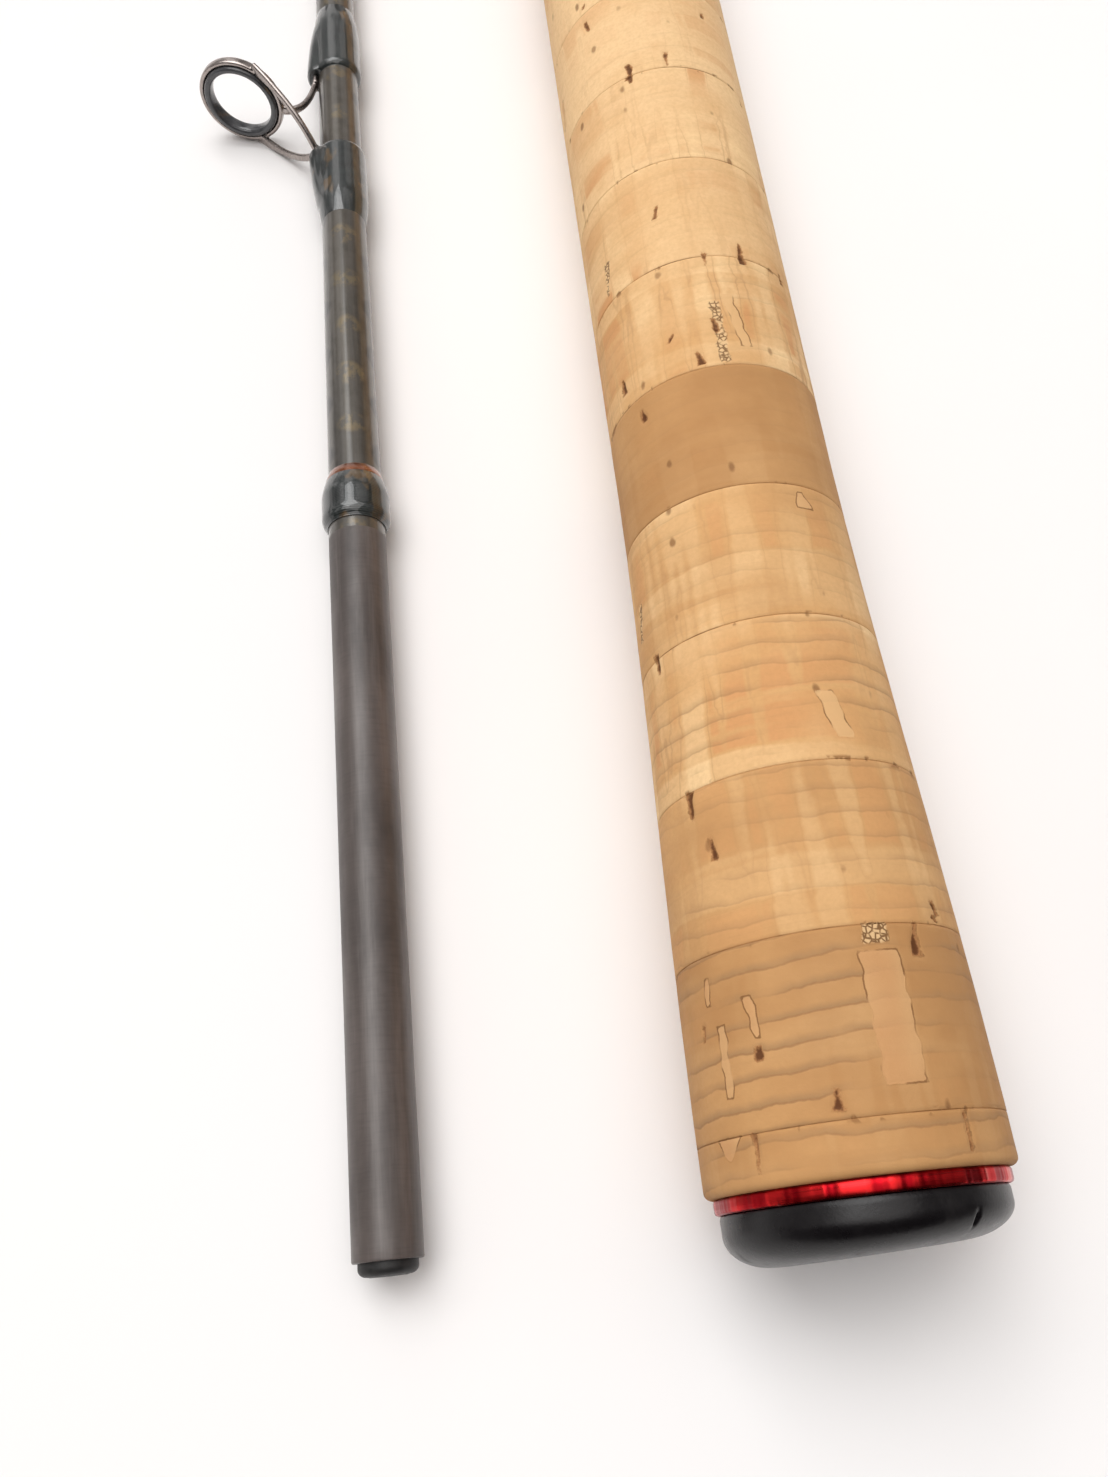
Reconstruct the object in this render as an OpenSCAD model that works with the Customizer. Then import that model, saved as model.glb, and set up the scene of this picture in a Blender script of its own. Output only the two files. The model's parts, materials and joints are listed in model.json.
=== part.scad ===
// Two-piece spinning rod, taken apart and laid down: the butt section with its cork grip and
// reel seat, and beside it the tip section with its plugged male ferrule.
// +Y runs from butt to tip, +Z is up, and the origin is the centre of the butt cap's end face.

/* [Blanks] */
// Length of the butt section, from the butt cap to the mouth of its ferrule socket
butt_len = 1020; // [980:5:1100]
// Outer radius of the butt blank at its butt end
butt_blank_r = 6.0; // [5.7:0.1:6.1]
// Outer radius of the butt blank at its mouth
butt_mouth_r = 3.8; // [3.6:0.1:4.2]
// Wall of the butt blank at its butt end
butt_wall = 0.8; // [0.6:0.1:1.0]
// Length of the tip section's blank, from its male end to its tip
tip_len = 1012; // [990:2:1100]
// Outer radius of the tip blank at its tip
tip_end_r = 0.85; // [0.8:0.05:1.0]
// Outer radius of the tip blank just above the ferrule wrap
tip_base_r = 2.66; // [2.6:0.02:2.72]
// Outer radius of the tip blank at its first guide
tip_guide_r = 2.35; // [2.3:0.05:2.5]

/* [Ferrule] */
// Radius of the male ferrule
ferrule_r = 2.8; // [2.75:0.05:2.85]
// Length of the male ferrule
ferrule_len = 66.7; // [60:0.1:70]
// Radial clearance of the ferrule in its socket
ferrule_fit = 0.02; // [0.01:0.01:0.04]
// Radius of the plug that closes the male end
plug_r = 2.35; // [2.2:0.05:2.4]
// Height of the plug's head outside the tube
plug_head = 1.1; // [0.5:0.1:1.5]

/* [Rear grip] */
// Largest radius of the cork grip, at its butt end
grip_butt_r = 11.2; // [11.1:0.1:11.4]
// Radius of the cork grip's straight part
grip_neck_r = 9.8; // [9.6:0.1:10]
// Length over which the grip flares out towards the butt
grip_flare = 62; // [50:2:80]
// Length of one cork ring
cork_pitch = 12.7; // [12:0.1:13]
// Length of the short cork ring next to the trim ring
cork_short = 3.55; // [3:0.05:6]
// Radius of the butt cap
cap_r = 10.3; // [10:0.1:10.6]
// Length of the butt cap
cap_len = 3.5; // [2.6:0.1:4]
// How far the butt cap's rounded edge runs along the rod
cap_round = 2.2; // [1.5:0.1:2.4]
// How far the butt cap's rounded edge runs in towards the axis
cap_round_in = 3.7; // [2:0.1:4]
// Radius of the butt trim ring
trim_r = 10.6; // [10.3:0.1:10.9]
// Thickness of the butt trim ring
trim_len = 1.1; // [1:0.1:1.6]

/* [Reel seat] */
// Length of the reel seat's barrel
seat_len = 100; // [98:1:104]
// Radius of the barrel and of its thread's crests
seat_r = 9.0; // [8.9:0.1:9.1]
// Radius of the barrel's bore
seat_bore_r = 6.4; // [6.3:0.1:6.5]
// Height of the foot track above the rod's axis
track_x = 7.4; // [7.3:0.1:7.5]
// Thread pitch of the lock nut
thread_pitch = 2; // [1.5:0.5:2.5]
// Travel of the sliding hood
hood_travel = 14; // [10:1:14]
// Height of a hood's pocket above the foot track
pocket_h = 4.8; // [4.6:0.1:5]
// Width of a hood's pocket
pocket_w = 13; // [12.6:0.2:13.4]

/* [Foregrip] */
// Largest radius of the foregrip
fore_max_r = 11.2; // [11:0.1:11.2]
// Radius of the foregrip at its tip-side end
fore_end_r = 8.6; // [8:0.1:9]
// Length of the winding check
check_len = 6; // [5:0.5:8]

/* [Guides] */
// Lean of the guide rings towards the tip, in degrees
ring_lean = 16.8; // [10:0.1:20]
// Roll of the tip section's guides above the horizontal, in degrees
tip_roll = 8.2; // [6:0.1:12]

/* [Hidden] */
$fn = 96;
glue = 0.05;
run_gap = 0.3;
cut = 1;
edge = 0.25;
chamfer = 0.6;

fore_rings = 4;
grip_rings = 17;
grip_y = cap_len + trim_len;
seat_y = grip_y + cork_short + (grip_rings - 1) * cork_pitch;
seat_end = seat_y + seat_len;
fore_len = fore_rings * cork_pitch;
fore_end = seat_end + fore_len;
blank_y = 1.6;
cork_edge = 0.5;

// The guides: place of each ring's centre, its outer radius and its gap to the blank's axis
butt_guides = 2;
guide_count = 7;
guide_at = [650, 870, 127.7, 300, 470, 640, 815];
guide_r = [11, 6.4, 5, 4.2, 3.7, 3.3, 3.3];
guide_gap = [13, 7.8, 6.27, 5.2, 4.5, 4, 4];
first_r = guide_r[2];
hole_share = 0.71;
frame_wall = 0.55;
ring_fit = 0.01;
tip_ring_r = 3;
tip_ring_gap = 0.9;
tip_tube_len = 9;
tip_wrap_len = 8;

// The whippings at the ferrule, with a narrow band of trim thread beside each
wrap_skin = 0.12;
band_len = 1;
ferrule_step = 3.3;
ferrule_wrap_len = 5.3;
socket_wrap_len = 30;
socket_wrap_rise = 0.6;

// The tip section lies beside the butt section, on the same surface
floor_z = -grip_butt_r;
wrap_bulge_r = 3.4;
tip_x = -35.1;
tip_y = 3.15;
tip_z = floor_z + wrap_bulge_r;

cork_color = "burlywood";
steel_color = "silver";
wrap_color = "darkslategray";
blank_color = "dimgray";
trim_color = "chocolate";
black = [0.08, 0.08, 0.09];

// ---- names, radii and places ----

function grip_name(i) = str("grip_ring_", i < 10 ? "0" : "", i);
function fore_name(i) = str("foregrip_ring_", i);
function guide_name(i, piece) = str("guide_", i, "_", piece);
function mix(a, b, t) = a + (b - a) * t;

function butt_r(y) = mix(butt_blank_r, butt_mouth_r, y / butt_len);
function tip_r(s) = lookup(s, [
    [0, ferrule_r],
    [ferrule_len, ferrule_r],
    [ferrule_len + ferrule_step, tip_base_r],
    [guide_at[butt_guides], tip_guide_r],
    [tip_len, tip_end_r]
]);
function blank_r(i, s) = i < butt_guides ? butt_r(s) : tip_r(s);

function grip_r(y) =
    let (t = min(1, (y - grip_y) / grip_flare))
    mix(grip_butt_r, grip_neck_r, t * t * (3 - 2 * t));
function fore_r(y) =
    let (s = (y - seat_end) / fore_len, peak = 0.3)
    s < peak
        ? fore_max_r - 0.5 * pow((peak - s) / peak, 2)
        : mix(fore_max_r, fore_end_r, pow((s - peak) / (1 - peak), 2));

function grip_start(i) = i == 1 ? grip_y : grip_y + cork_short + (i - 2) * cork_pitch;
function grip_stop(i) = grip_y + cork_short + (i - 1) * cork_pitch;

function bezier(a, b, c, t) = a * (1 - t) * (1 - t) + 2 * b * t * (1 - t) + c * t * t;

// ---- shared shapes ----

// A turned shape: points are [radius, place along Y]
module turned(points) {
    rotate([-90, 0, 0])
        rotate_extrude()
            polygon(points);
}

// A plain round bar between two places along Y
module bar(r, from, to) {
    turned([[0, from], [r, from], [r, to], [0, to]]);
}

// A round bar whose far end is chamfered
module chamfered_bar(r, to) {
    turned([[0, 0], [r, 0], [r, to - chamfer], [r - chamfer, to], [0, to]]);
}

// A solid that follows the outside of a blank between two places along it
module blank_solid(i, from, to) {
    bend = guide_at[butt_guides];
    turned(concat(
        [[0, from], [blank_r(i, from), from]],
        from < bend && bend < to ? [[blank_r(i, bend), bend]] : [],
        [[blank_r(i, to), to], [0, to]]
    ));
}

// A strip of even width with a side outline in the Y-Z plane, points as [Y, Z]
module side_plate(points, width) {
    rotate([90, 0, 90])
        linear_extrude(width, center = true)
            polygon(points);
}

// Everything on the butt section faces its guides towards +X
module on_butt() {
    rotate([0, 90, 0])
        children();
}

// Everything on the tip section lies beside the butt section, its guides towards -X
module on_tip() {
    translate([tip_x, tip_y, tip_z])
        rotate([0, tip_roll - 90, 0])
            children();
}

module on_section(i) {
    if (i < butt_guides)
        on_butt()
            children();
    else
        on_tip()
            children();
}

// ---- rear grip ----

module butt_cap() {
    color(black)
        turned(concat(
            [[0, 0]],
            [for (a = [0:10:90]) [cap_r - cap_round_in * (1 - sin(a)), cap_round * (1 - cos(a))]],
            [
                [cap_r, cap_len],
                [butt_r(cap_len) + glue, cap_len],
                [butt_r(blank_y) + glue, blank_y - 0.1],
                [0, blank_y - 0.1]
            ]
        ));
}

module butt_trim_ring() {
    color("crimson")
        turned([
            [butt_r(cap_len) + glue, cap_len],
            [trim_r - edge, cap_len],
            [trim_r, cap_len + edge],
            [trim_r, grip_y - edge],
            [trim_r - edge, grip_y],
            [butt_r(grip_y) + glue, grip_y]
        ]);
}

// One cork ring, bored for the blank and turned to the grip's outline
module grip_ring(i) {
    y0 = grip_start(i);
    y1 = grip_stop(i);
    from = i == 1 ? y0 + cork_edge : y0;
    steps = 4;
    places = [for (k = [0:steps]) mix(from, y1, k / steps)];
    color(cork_color)
        turned(concat(
            [[butt_r(y0) + glue, y0]],
            i == 1 ? [[grip_r(y0) - cork_edge, y0]] : [],
            [for (y = places) [grip_r(y), y]],
            [[butt_r(y1) + glue, y1]]
        ));
}

// ---- reel seat ----

hood_len = 24;
hood_pocket = 18.4;
nut_y = seat_y + 1;
nut_len = 12;
hood_y = nut_y + nut_len + run_gap;
fixed_len = 28;
fixed_pocket = 19;
fixed_y = seat_end - fixed_len;
track_y = nut_y + nut_len - 1;
pad_y = hood_y + hood_len + hood_travel + 0.6;
pad_h = 0.2;
thread_depth = 0.5;
thread_len = 38;
thread_inset = 2;
arbor_inset = 10;
arbor_len = 22;
sliding_sleeve_r = 10.8;
fixed_sleeve_r = 10.6;

module reel_seat_barrel() {
    turns = floor(thread_len / thread_pitch);
    thread_y = seat_y + thread_inset;
    thread_stop = thread_y + turns * thread_pitch;
    crest = [[0, 0.3], [1, 0.8], [1, 1.2], [0, 1.7]];
    color(black)
        difference() {
            turned(concat(
                [[seat_bore_r, seat_y], [seat_r - thread_depth, seat_y]],
                [for (k = [0:turns - 1]) for (p = crest)
                    [seat_r - thread_depth * (1 - p[0]), thread_y + k * thread_pitch + p[1]]],
                [
                    [seat_r - thread_depth, thread_stop],
                    [seat_r, thread_stop + 1],
                    [seat_r, seat_end],
                    [seat_bore_r, seat_end]
                ]
            ));
            translate([track_x, track_y, -seat_r])
                cube([seat_r, pad_y - track_y, 2 * seat_r]);
            translate([track_x + pad_h, track_y, -seat_r])
                cube([seat_r, fixed_y + fixed_pocket - track_y, 2 * seat_r]);
            translate([track_x, fixed_y - pad_h, -seat_r])
                cube([seat_r, fixed_pocket + pad_h, 2 * seat_r]);
        }
}

// The two bushes that fill the gap between the blank and the barrel
module seat_arbors() {
    color("tan")
        for (y = [seat_y + arbor_inset, seat_end - arbor_inset - arbor_len])
            turned([
                [butt_r(y) + glue, y],
                [seat_bore_r - glue, y],
                [seat_bore_r - glue, y + arbor_len],
                [butt_r(y + arbor_len) + glue, y + arbor_len]
            ]);
}

roof_r = 8.7;
roof_x = 4.8;
roof_wall = 0.7;
roof_slope = 4;
lip = 1;

// The outside of a hood that opens towards +Y: a sleeve with a roof over the foot pocket
module hood_body(length, sleeve_r) {
    difference() {
        union() {
            turned([
                [0, 0],
                [sleeve_r - lip, 0],
                [sleeve_r, lip],
                [sleeve_r, length - chamfer],
                [sleeve_r - chamfer, length],
                [0, length]
            ]);
            translate([roof_x, 0, 0])
                chamfered_bar(roof_r, length);
        }
        translate([roof_x + roof_r, length * 0.7, -2 * roof_r])
            rotate([0, 0, -roof_slope])
                translate([0, -2 * length, 0])
                    cube([length, 2 * length, 4 * roof_r]);
    }
}

// The arched pocket that the reel's foot enters
module foot_pocket(depth, length) {
    intersection() {
        translate([track_x - cut, length - depth, -pocket_w / 2])
            cube([pocket_h + cut, depth + cut, pocket_w]);
        translate([roof_x, 0, 0])
            bar(roof_r - roof_wall, 0, length + 2 * cut);
    }
}

module sliding_hood() {
    color("gray")
        translate([0, hood_y, 0])
            difference() {
                hood_body(hood_len, sliding_sleeve_r);
                difference() {
                    bar(seat_r + run_gap, -cut, hood_len + cut);
                    translate([track_x + run_gap, -2 * cut, -seat_r])
                        cube([seat_r, hood_len + 4 * cut, 2 * seat_r]);
                }
                foot_pocket(hood_pocket, hood_len);
            }
}

module fixed_hood() {
    color("gray")
        translate([0, seat_end, 0])
            mirror([0, 1, 0])
                difference() {
                    hood_body(fixed_len, fixed_sleeve_r);
                    bar(seat_r + glue, -cut, fixed_len + cut);
                    foot_pocket(fixed_pocket, fixed_len);
                }
}

module lock_nut() {
    nut_r = 11;
    flutes = 20;
    flute_r = 1;
    color("gray")
        difference() {
            turned([
                [seat_r + run_gap, nut_y],
                [nut_r - chamfer, nut_y],
                [nut_r, nut_y + chamfer],
                [nut_r, nut_y + nut_len - 2],
                [nut_r - chamfer, nut_y + nut_len],
                [seat_r + run_gap, nut_y + nut_len]
            ]);
            for (k = [1:flutes])
                rotate([0, k * 360 / flutes, 0])
                    translate([nut_r + 0.5, nut_y + 1.5, 0])
                        rotate([-90, 0, 0])
                            cylinder(r = flute_r, h = nut_len - 5, $fn = 24);
        }
}

// ---- foregrip and winding check ----

module fore_ring(i) {
    y0 = seat_end + (i - 1) * cork_pitch;
    y1 = y0 + cork_pitch;
    steps = 5;
    color(cork_color)
        turned(concat(
            [[butt_r(y0) + glue, y0]],
            [for (k = [0:steps]) [fore_r(mix(y0, y1, k / steps)), mix(y0, y1, k / steps)]],
            [[butt_r(y1) + glue, y1]]
        ));
}

module winding_check() {
    y1 = fore_end + check_len;
    color("crimson")
        turned([
            [butt_r(fore_end) + glue, fore_end],
            [fore_end_r - 0.1, fore_end],
            [fore_end_r, fore_end + 0.3],
            [fore_end_r - 0.3, fore_end + 1.5],
            [butt_r(y1) + 0.8, y1 - 0.4],
            [butt_r(y1) + 0.5, y1],
            [butt_r(y1) + glue, y1]
        ]);
}

// ---- blanks ----

module butt_blank() {
    socket_r = ferrule_r + ferrule_fit;
    socket_y = butt_len - ferrule_len - 2;
    color(blank_color)
        turned([
            [butt_r(blank_y) - butt_wall, blank_y],
            [butt_r(blank_y), blank_y],
            [butt_r(butt_len), butt_len],
            [socket_r, butt_len],
            [socket_r, socket_y],
            [socket_r + 0.05, socket_y - 1]
        ]);
}

module tip_blank() {
    bore_r = plug_r + 0.02;
    bore_len = 20;
    color(blank_color)
        on_tip()
            turned([
                [bore_r, 0],
                [ferrule_r - 0.15, 0],
                [ferrule_r, 0.15],
                [ferrule_r, ferrule_len],
                [tip_base_r, ferrule_len + ferrule_step],
                [tip_guide_r, guide_at[butt_guides]],
                [tip_end_r, tip_len],
                [tip_end_r / 2, tip_len],
                [tip_guide_r - 0.5, guide_at[butt_guides]],
                [bore_r, bore_len]
            ]);
}

module ferrule_plug() {
    plug_len = 12;
    soft = 0.6;
    color(black)
        on_tip()
            turned(concat(
                [[0, -plug_head]],
                [for (a = [0:15:90]) [plug_r - soft * (1 - sin(a)), soft * (1 - cos(a)) - plug_head]],
                [[plug_r, plug_len], [0, plug_len]]
            ));
}

// ---- whippings ----

// A whipping under varnish: a bulged sleeve on the blank
module sleeve(i, from, to, rise) {
    taper = min(2.5, (to - from) / 4);
    turned([
        [0, from],
        [blank_r(i, from) + wrap_skin, from],
        [blank_r(i, from) + rise * 0.75, from + taper * 0.5],
        [blank_r(i, from) + rise, from + taper],
        [blank_r(i, to) + rise, to - taper],
        [blank_r(i, to) + rise * 0.75, to - taper * 0.5],
        [blank_r(i, to) + wrap_skin, to],
        [0, to]
    ]);
}

module ferrule_wrap() {
    stop = ferrule_len + ferrule_wrap_len;
    color(wrap_color)
        on_tip()
            difference() {
                turned([
                    [0, ferrule_len],
                    [ferrule_r + 0.15, ferrule_len],
                    [wrap_bulge_r - 0.15, ferrule_len + 0.7],
                    [wrap_bulge_r, ferrule_len + 1.8],
                    [wrap_bulge_r - 0.05, ferrule_len + 3.6],
                    [wrap_bulge_r - 0.3, stop],
                    [0, stop]
                ]);
                turned([
                    [0, ferrule_len - cut],
                    [ferrule_r, ferrule_len - cut],
                    [ferrule_r, ferrule_len],
                    [tip_base_r, ferrule_len + ferrule_step],
                    [tip_r(stop + cut), stop + cut],
                    [0, stop + cut]
                ]);
            }
}

module ferrule_band() {
    y0 = ferrule_len + ferrule_wrap_len;
    y1 = y0 + band_len;
    color(trim_color)
        on_tip()
            turned([
                [tip_r(y0), y0],
                [wrap_bulge_r - 0.35, y0],
                [tip_r(y1) + 0.15, y1],
                [tip_r(y1), y1]
            ]);
}

module socket_wrap() {
    y0 = butt_len - socket_wrap_len;
    color(wrap_color)
        on_butt()
            difference() {
                sleeve(0, y0, butt_len, socket_wrap_rise);
                blank_solid(0, y0 - cut, butt_len + cut);
            }
}

module socket_band() {
    y1 = butt_len - socket_wrap_len;
    y0 = y1 - band_len;
    color(trim_color)
        turned([
            [butt_r(y0), y0],
            [butt_r(y0) + wrap_skin, y0],
            [butt_r(y1) + 0.2, y1],
            [butt_r(y1), y1]
        ]);
}

// ---- guides ----
// In a guide's own frame its blank runs along Y and its ring stands towards +Z.
// A guide's metal is in proportion to its gauge, and its reach to its ring.

back_reach = 8.9;
front_reach = 3.8;
foot_height = 0.8;

function scale_of(i) = guide_r[i] / first_r;
function gauge(i) = 0.9 * sqrt(scale_of(i));
function foot_w(i) = 1.9 * gauge(i);
function foot_len(i) = 3.5 + 3.5 * scale_of(i);
function wrap_len(i) = foot_len(i) + 4;
function back_exit(i) = guide_at[i] - back_reach * scale_of(i);
function front_exit(i) = guide_at[i] + front_reach * scale_of(i);
function ring_h(i) = guide_r[i] + guide_gap[i];
function wall_of(i) = frame_wall * sqrt(scale_of(i));
function foot_top(i, exit) = blank_r(i, exit) + foot_height * gauge(i);

// A curve's two edges, half a gauge to either side of it
function strip(a, b, c, half, steps = 6) =
    let (
        line = [for (k = [0:steps]) bezier(a, b, c, k / steps)],
        ways = [for (k = [0:steps]) let (d = line[min(k + 1, steps)] - line[max(k - 1, 0)]) d / norm(d)]
    )
    concat(
        [for (k = [0:steps]) line[k] + half * [-ways[k].y, ways[k].x]],
        [for (k = [steps:-1:0]) line[k] - half * [-ways[k].y, ways[k].x]]
    );

module at_ring(i) {
    translate([0, guide_at[i], ring_h(i)])
        rotate([-90 - ring_lean, 0, 0])
            children();
}

// A foot's plain strip, before the blank's round is cut from under it
module foot_strip(i, exit, way) {
    from = exit - way * 1.2 * gauge(i);
    to = exit + way * foot_len(i);
    top = foot_top(i, exit);
    side_plate(
        [[from, 0], [to, 0], [to, top - 0.3 * gauge(i)], [exit, top], [from, top]],
        foot_w(i)
    );
}

// A flat foot that lies on the blank under its whipping, with a short step outside it
module foot(i, exit, way) {
    reach = foot_len(i) + cut;
    difference() {
        foot_strip(i, exit, way);
        blank_solid(i, exit - reach, exit + reach);
    }
}

module guide_feet(i) {
    foot(i, back_exit(i), -1);
    foot(i, front_exit(i), 1);
}

// The two arms that rise from the back foot to the ring's sides, stamped from one flat plate
module back_arms(i) {
    g = gauge(i);
    r = guide_r[i];
    from = [back_exit(i) + 0.9 * g, foot_top(i, back_exit(i)) - 0.35 * g];
    drop = 0.35 * r;
    to = [guide_at[i] - drop * sin(ring_lean), ring_h(i) - drop * cos(ring_lean)];
    reach = norm(to - from);
    side = sqrt(r * r - drop * drop) - 0.3 * g;
    translate([0, from.x, from.y])
        rotate([atan2(to.y - from.y, to.x - from.x), 0, 0])
            linear_extrude(g, center = true)
                for (way = [-1, 1])
                    polygon(strip(
                        [way * 0.2 * g, -0.3 * g],
                        [way * side * 0.95, reach * 0.3],
                        [way * side, reach + 0.3 * g],
                        0.55 * g
                    ));
}

// The single arm that dips from the ring's base and turns towards the front foot
module front_arm(i) {
    g = gauge(i);
    r = guide_r[i] - 0.3 * g;
    base = [guide_at[i] - r * sin(ring_lean), ring_h(i) - r * cos(ring_lean)];
    to = [front_exit(i) - 0.6 * g, foot_top(i, front_exit(i)) - 0.35 * g];
    dip = [base.x - 0.8 * g, mix(base.y, to.y, 0.8)];
    side_plate(strip(base, dip, to, 0.5 * g), 1.2 * g);
}

module guide_frame(i) {
    r = guide_r[i];
    g = gauge(i);
    color(steel_color)
        on_section(i)
            difference() {
                union() {
                    at_ring(i)
                        cylinder(r = r, h = 1.4 * g, center = true);
                    back_arms(i);
                    front_arm(i);
                    guide_feet(i);
                }
                at_ring(i)
                    cylinder(r = r - wall_of(i), h = 8 * g, center = true);
            }
}

// The ceramic ring that lines the guide, with a straight land in its hole
module ring_insert(outer, hole, depth) {
    rotate_extrude()
        polygon([
            [hole, -0.25 * depth],
            [hole + 0.3 * depth, -depth / 2],
            [outer, -depth / 2],
            [outer, depth / 2],
            [hole + 0.3 * depth, depth / 2],
            [hole, 0.25 * depth]
        ]);
}

module guide_insert(i) {
    r = guide_r[i];
    g = gauge(i);
    color("darkslategray")
        on_section(i)
            at_ring(i)
                ring_insert(r - wall_of(i) - ring_fit, hole_share * r, 1.9 * g);
}

// The ramp that a foot makes under its whipping
module foot_ramp(i, exit, way) {
    g = gauge(i);
    knee = exit + way * (foot_len(i) + 0.6);
    far = exit + way * (foot_len(i) + 2.4);
    top = foot_top(i, exit) + 0.5 * g;
    low = blank_r(i, far) + 0.2;
    side_plate(
        [[exit, 0], [far, 0], [far, low], [knee, top - 0.3 * g], [exit, top]],
        foot_w(i) + g
    );
}

// The whipping over one foot: a sleeve with a ramp, hollow for the blank and the foot
module foot_wrap(i, exit, way) {
    rise = 0.4 + 0.1 * scale_of(i);
    far = exit + way * wrap_len(i);
    difference() {
        union() {
            sleeve(i, min(exit, far), max(exit, far), rise);
            foot_ramp(i, exit, way);
        }
        blank_solid(i, min(exit, far) - cut, max(exit, far) + cut);
        foot_strip(i, exit, way);
    }
}

module guide_wraps(i) {
    color(wrap_color)
        on_section(i) {
            foot_wrap(i, back_exit(i), -1);
            foot_wrap(i, front_exit(i), 1);
        }
}

// ---- tip-top ----

top_h = tip_ring_gap + tip_ring_r;
top_y = tip_len + 2.2;
top_wall = 0.8 * frame_wall;

module at_top_ring() {
    translate([0, top_y, top_h])
        rotate([-90 - ring_lean, 0, 0])
            children();
}

module tip_top_frame() {
    tube_r = tip_end_r + 0.5;
    tube_y = tip_len - tip_tube_len;
    brace = 0.7;
    drop = 0.5 * tip_ring_r;
    from = [tube_y + 1.5, tube_r - brace * 0.4];
    to = [top_y - drop * sin(ring_lean), top_h - drop * cos(ring_lean)];
    reach = norm(to - from);
    side = 0.8 * tip_ring_r;
    color(steel_color)
        on_tip()
            difference() {
                union() {
                    at_top_ring()
                        cylinder(r = tip_ring_r, h = 1, center = true);
                    bar(tube_r, tube_y, tip_len + chamfer);
                    translate([0, from.x, from.y])
                        rotate([atan2(to.y - from.y, to.x - from.x), 0, 0])
                            linear_extrude(brace, center = true)
                                for (way = [-1, 1])
                                    polygon(strip(
                                        [0, 0],
                                        [way * side * 0.6, reach * 0.3],
                                        [way * side, reach],
                                        brace / 2
                                    ));
                }
                at_top_ring()
                    cylinder(r = tip_ring_r - top_wall, h = 8, center = true);
                turned([
                    [0, tube_y - cut],
                    [tip_r(tube_y) + ring_fit, tube_y - cut],
                    [tip_end_r + 2 * ring_fit, tip_len],
                    [0, tip_len]
                ]);
            }
}

module tip_top_insert() {
    color("darkslategray")
        on_tip()
            at_top_ring()
                ring_insert(tip_ring_r - top_wall - ring_fit, hole_share * tip_ring_r, 1.3);
}

module tip_top_wrap() {
    y1 = tip_len - tip_tube_len;
    y0 = y1 - tip_wrap_len;
    last = guide_count - 1;
    color(wrap_color)
        on_tip()
            difference() {
                sleeve(last, y0, y1, 0.4);
                blank_solid(last, y0 - cut, y1 + cut);
            }
}

butt_cap();
butt_trim_ring();
for (i = [1:grip_rings])
    grip_ring(i);
butt_blank();
reel_seat_barrel();
seat_arbors();
fixed_hood();
sliding_hood();
lock_nut();
for (i = [1:fore_rings])
    fore_ring(i);
winding_check();
socket_wrap();
socket_band();
for (i = [1:guide_count]) {
    guide_frame(i - 1);
    guide_insert(i - 1);
    guide_wraps(i - 1);
}
tip_blank();
ferrule_plug();
ferrule_wrap();
ferrule_band();
tip_top_frame();
tip_top_insert();
tip_top_wrap();
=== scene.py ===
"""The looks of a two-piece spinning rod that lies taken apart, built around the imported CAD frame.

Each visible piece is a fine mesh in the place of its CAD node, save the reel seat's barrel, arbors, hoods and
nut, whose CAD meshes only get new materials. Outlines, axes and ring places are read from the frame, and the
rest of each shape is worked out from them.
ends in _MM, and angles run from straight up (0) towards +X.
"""
import json
import math

import bpy
import numpy as np
from mathutils import Matrix, Vector


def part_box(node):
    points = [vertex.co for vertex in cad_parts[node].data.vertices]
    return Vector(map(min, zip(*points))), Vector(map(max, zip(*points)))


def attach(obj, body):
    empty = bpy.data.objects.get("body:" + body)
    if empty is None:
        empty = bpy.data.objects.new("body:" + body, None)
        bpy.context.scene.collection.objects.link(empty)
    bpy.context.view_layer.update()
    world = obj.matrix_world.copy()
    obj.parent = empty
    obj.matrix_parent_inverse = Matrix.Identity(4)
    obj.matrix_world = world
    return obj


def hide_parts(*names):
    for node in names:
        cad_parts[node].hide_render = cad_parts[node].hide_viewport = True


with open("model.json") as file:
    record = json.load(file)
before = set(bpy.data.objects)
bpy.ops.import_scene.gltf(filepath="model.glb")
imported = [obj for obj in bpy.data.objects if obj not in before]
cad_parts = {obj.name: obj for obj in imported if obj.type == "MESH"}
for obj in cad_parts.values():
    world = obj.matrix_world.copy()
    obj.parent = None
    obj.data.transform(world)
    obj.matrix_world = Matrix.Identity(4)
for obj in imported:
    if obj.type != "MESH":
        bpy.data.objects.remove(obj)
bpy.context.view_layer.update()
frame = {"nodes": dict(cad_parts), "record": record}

MM = 0.001
RNG = np.random.default_rng(7)

# ---------------------------------------------------------------- places read from the frame


def box(node):
    low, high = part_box(node)
    return np.array(low), np.array(high)


def axis_of(node):
    """Where a turned node's own axis crosses the X-Z plane."""
    low, high = box(node)
    return (low[0] + high[0]) / 2, (low[2] + high[2]) / 2


BUTT_AXIS = axis_of("butt_trim_ring")
TIP_AXIS = axis_of("ferrule_plug")


def polar(node, axis):
    """Each CAD vertex of a turned node: its place along Y and its distance from the axis."""
    points = np.array([v.co[:] for v in frame["nodes"][node].data.vertices])
    return points[:, 1], np.hypot(points[:, 0] - axis[0], points[:, 2] - axis[1])


def outline(node, axis, share=0.75):
    """The outer radius of a turned CAD node at each of its stations along Y, its bore left out."""
    places, radius = polar(node, axis)
    outer = radius > share * radius.max()
    places, radius = np.round(places[outer], 5), radius[outer]
    stations = np.unique(places)
    return stations, np.array([radius[places == y].max() for y in stations])


def narrowing(node, axis):
    """The outer radius of a blank, which only ever narrows towards its tip."""
    stations, radii = outline(node, axis, 0)
    return stations, np.maximum.accumulate(radii[::-1])[::-1]


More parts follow.
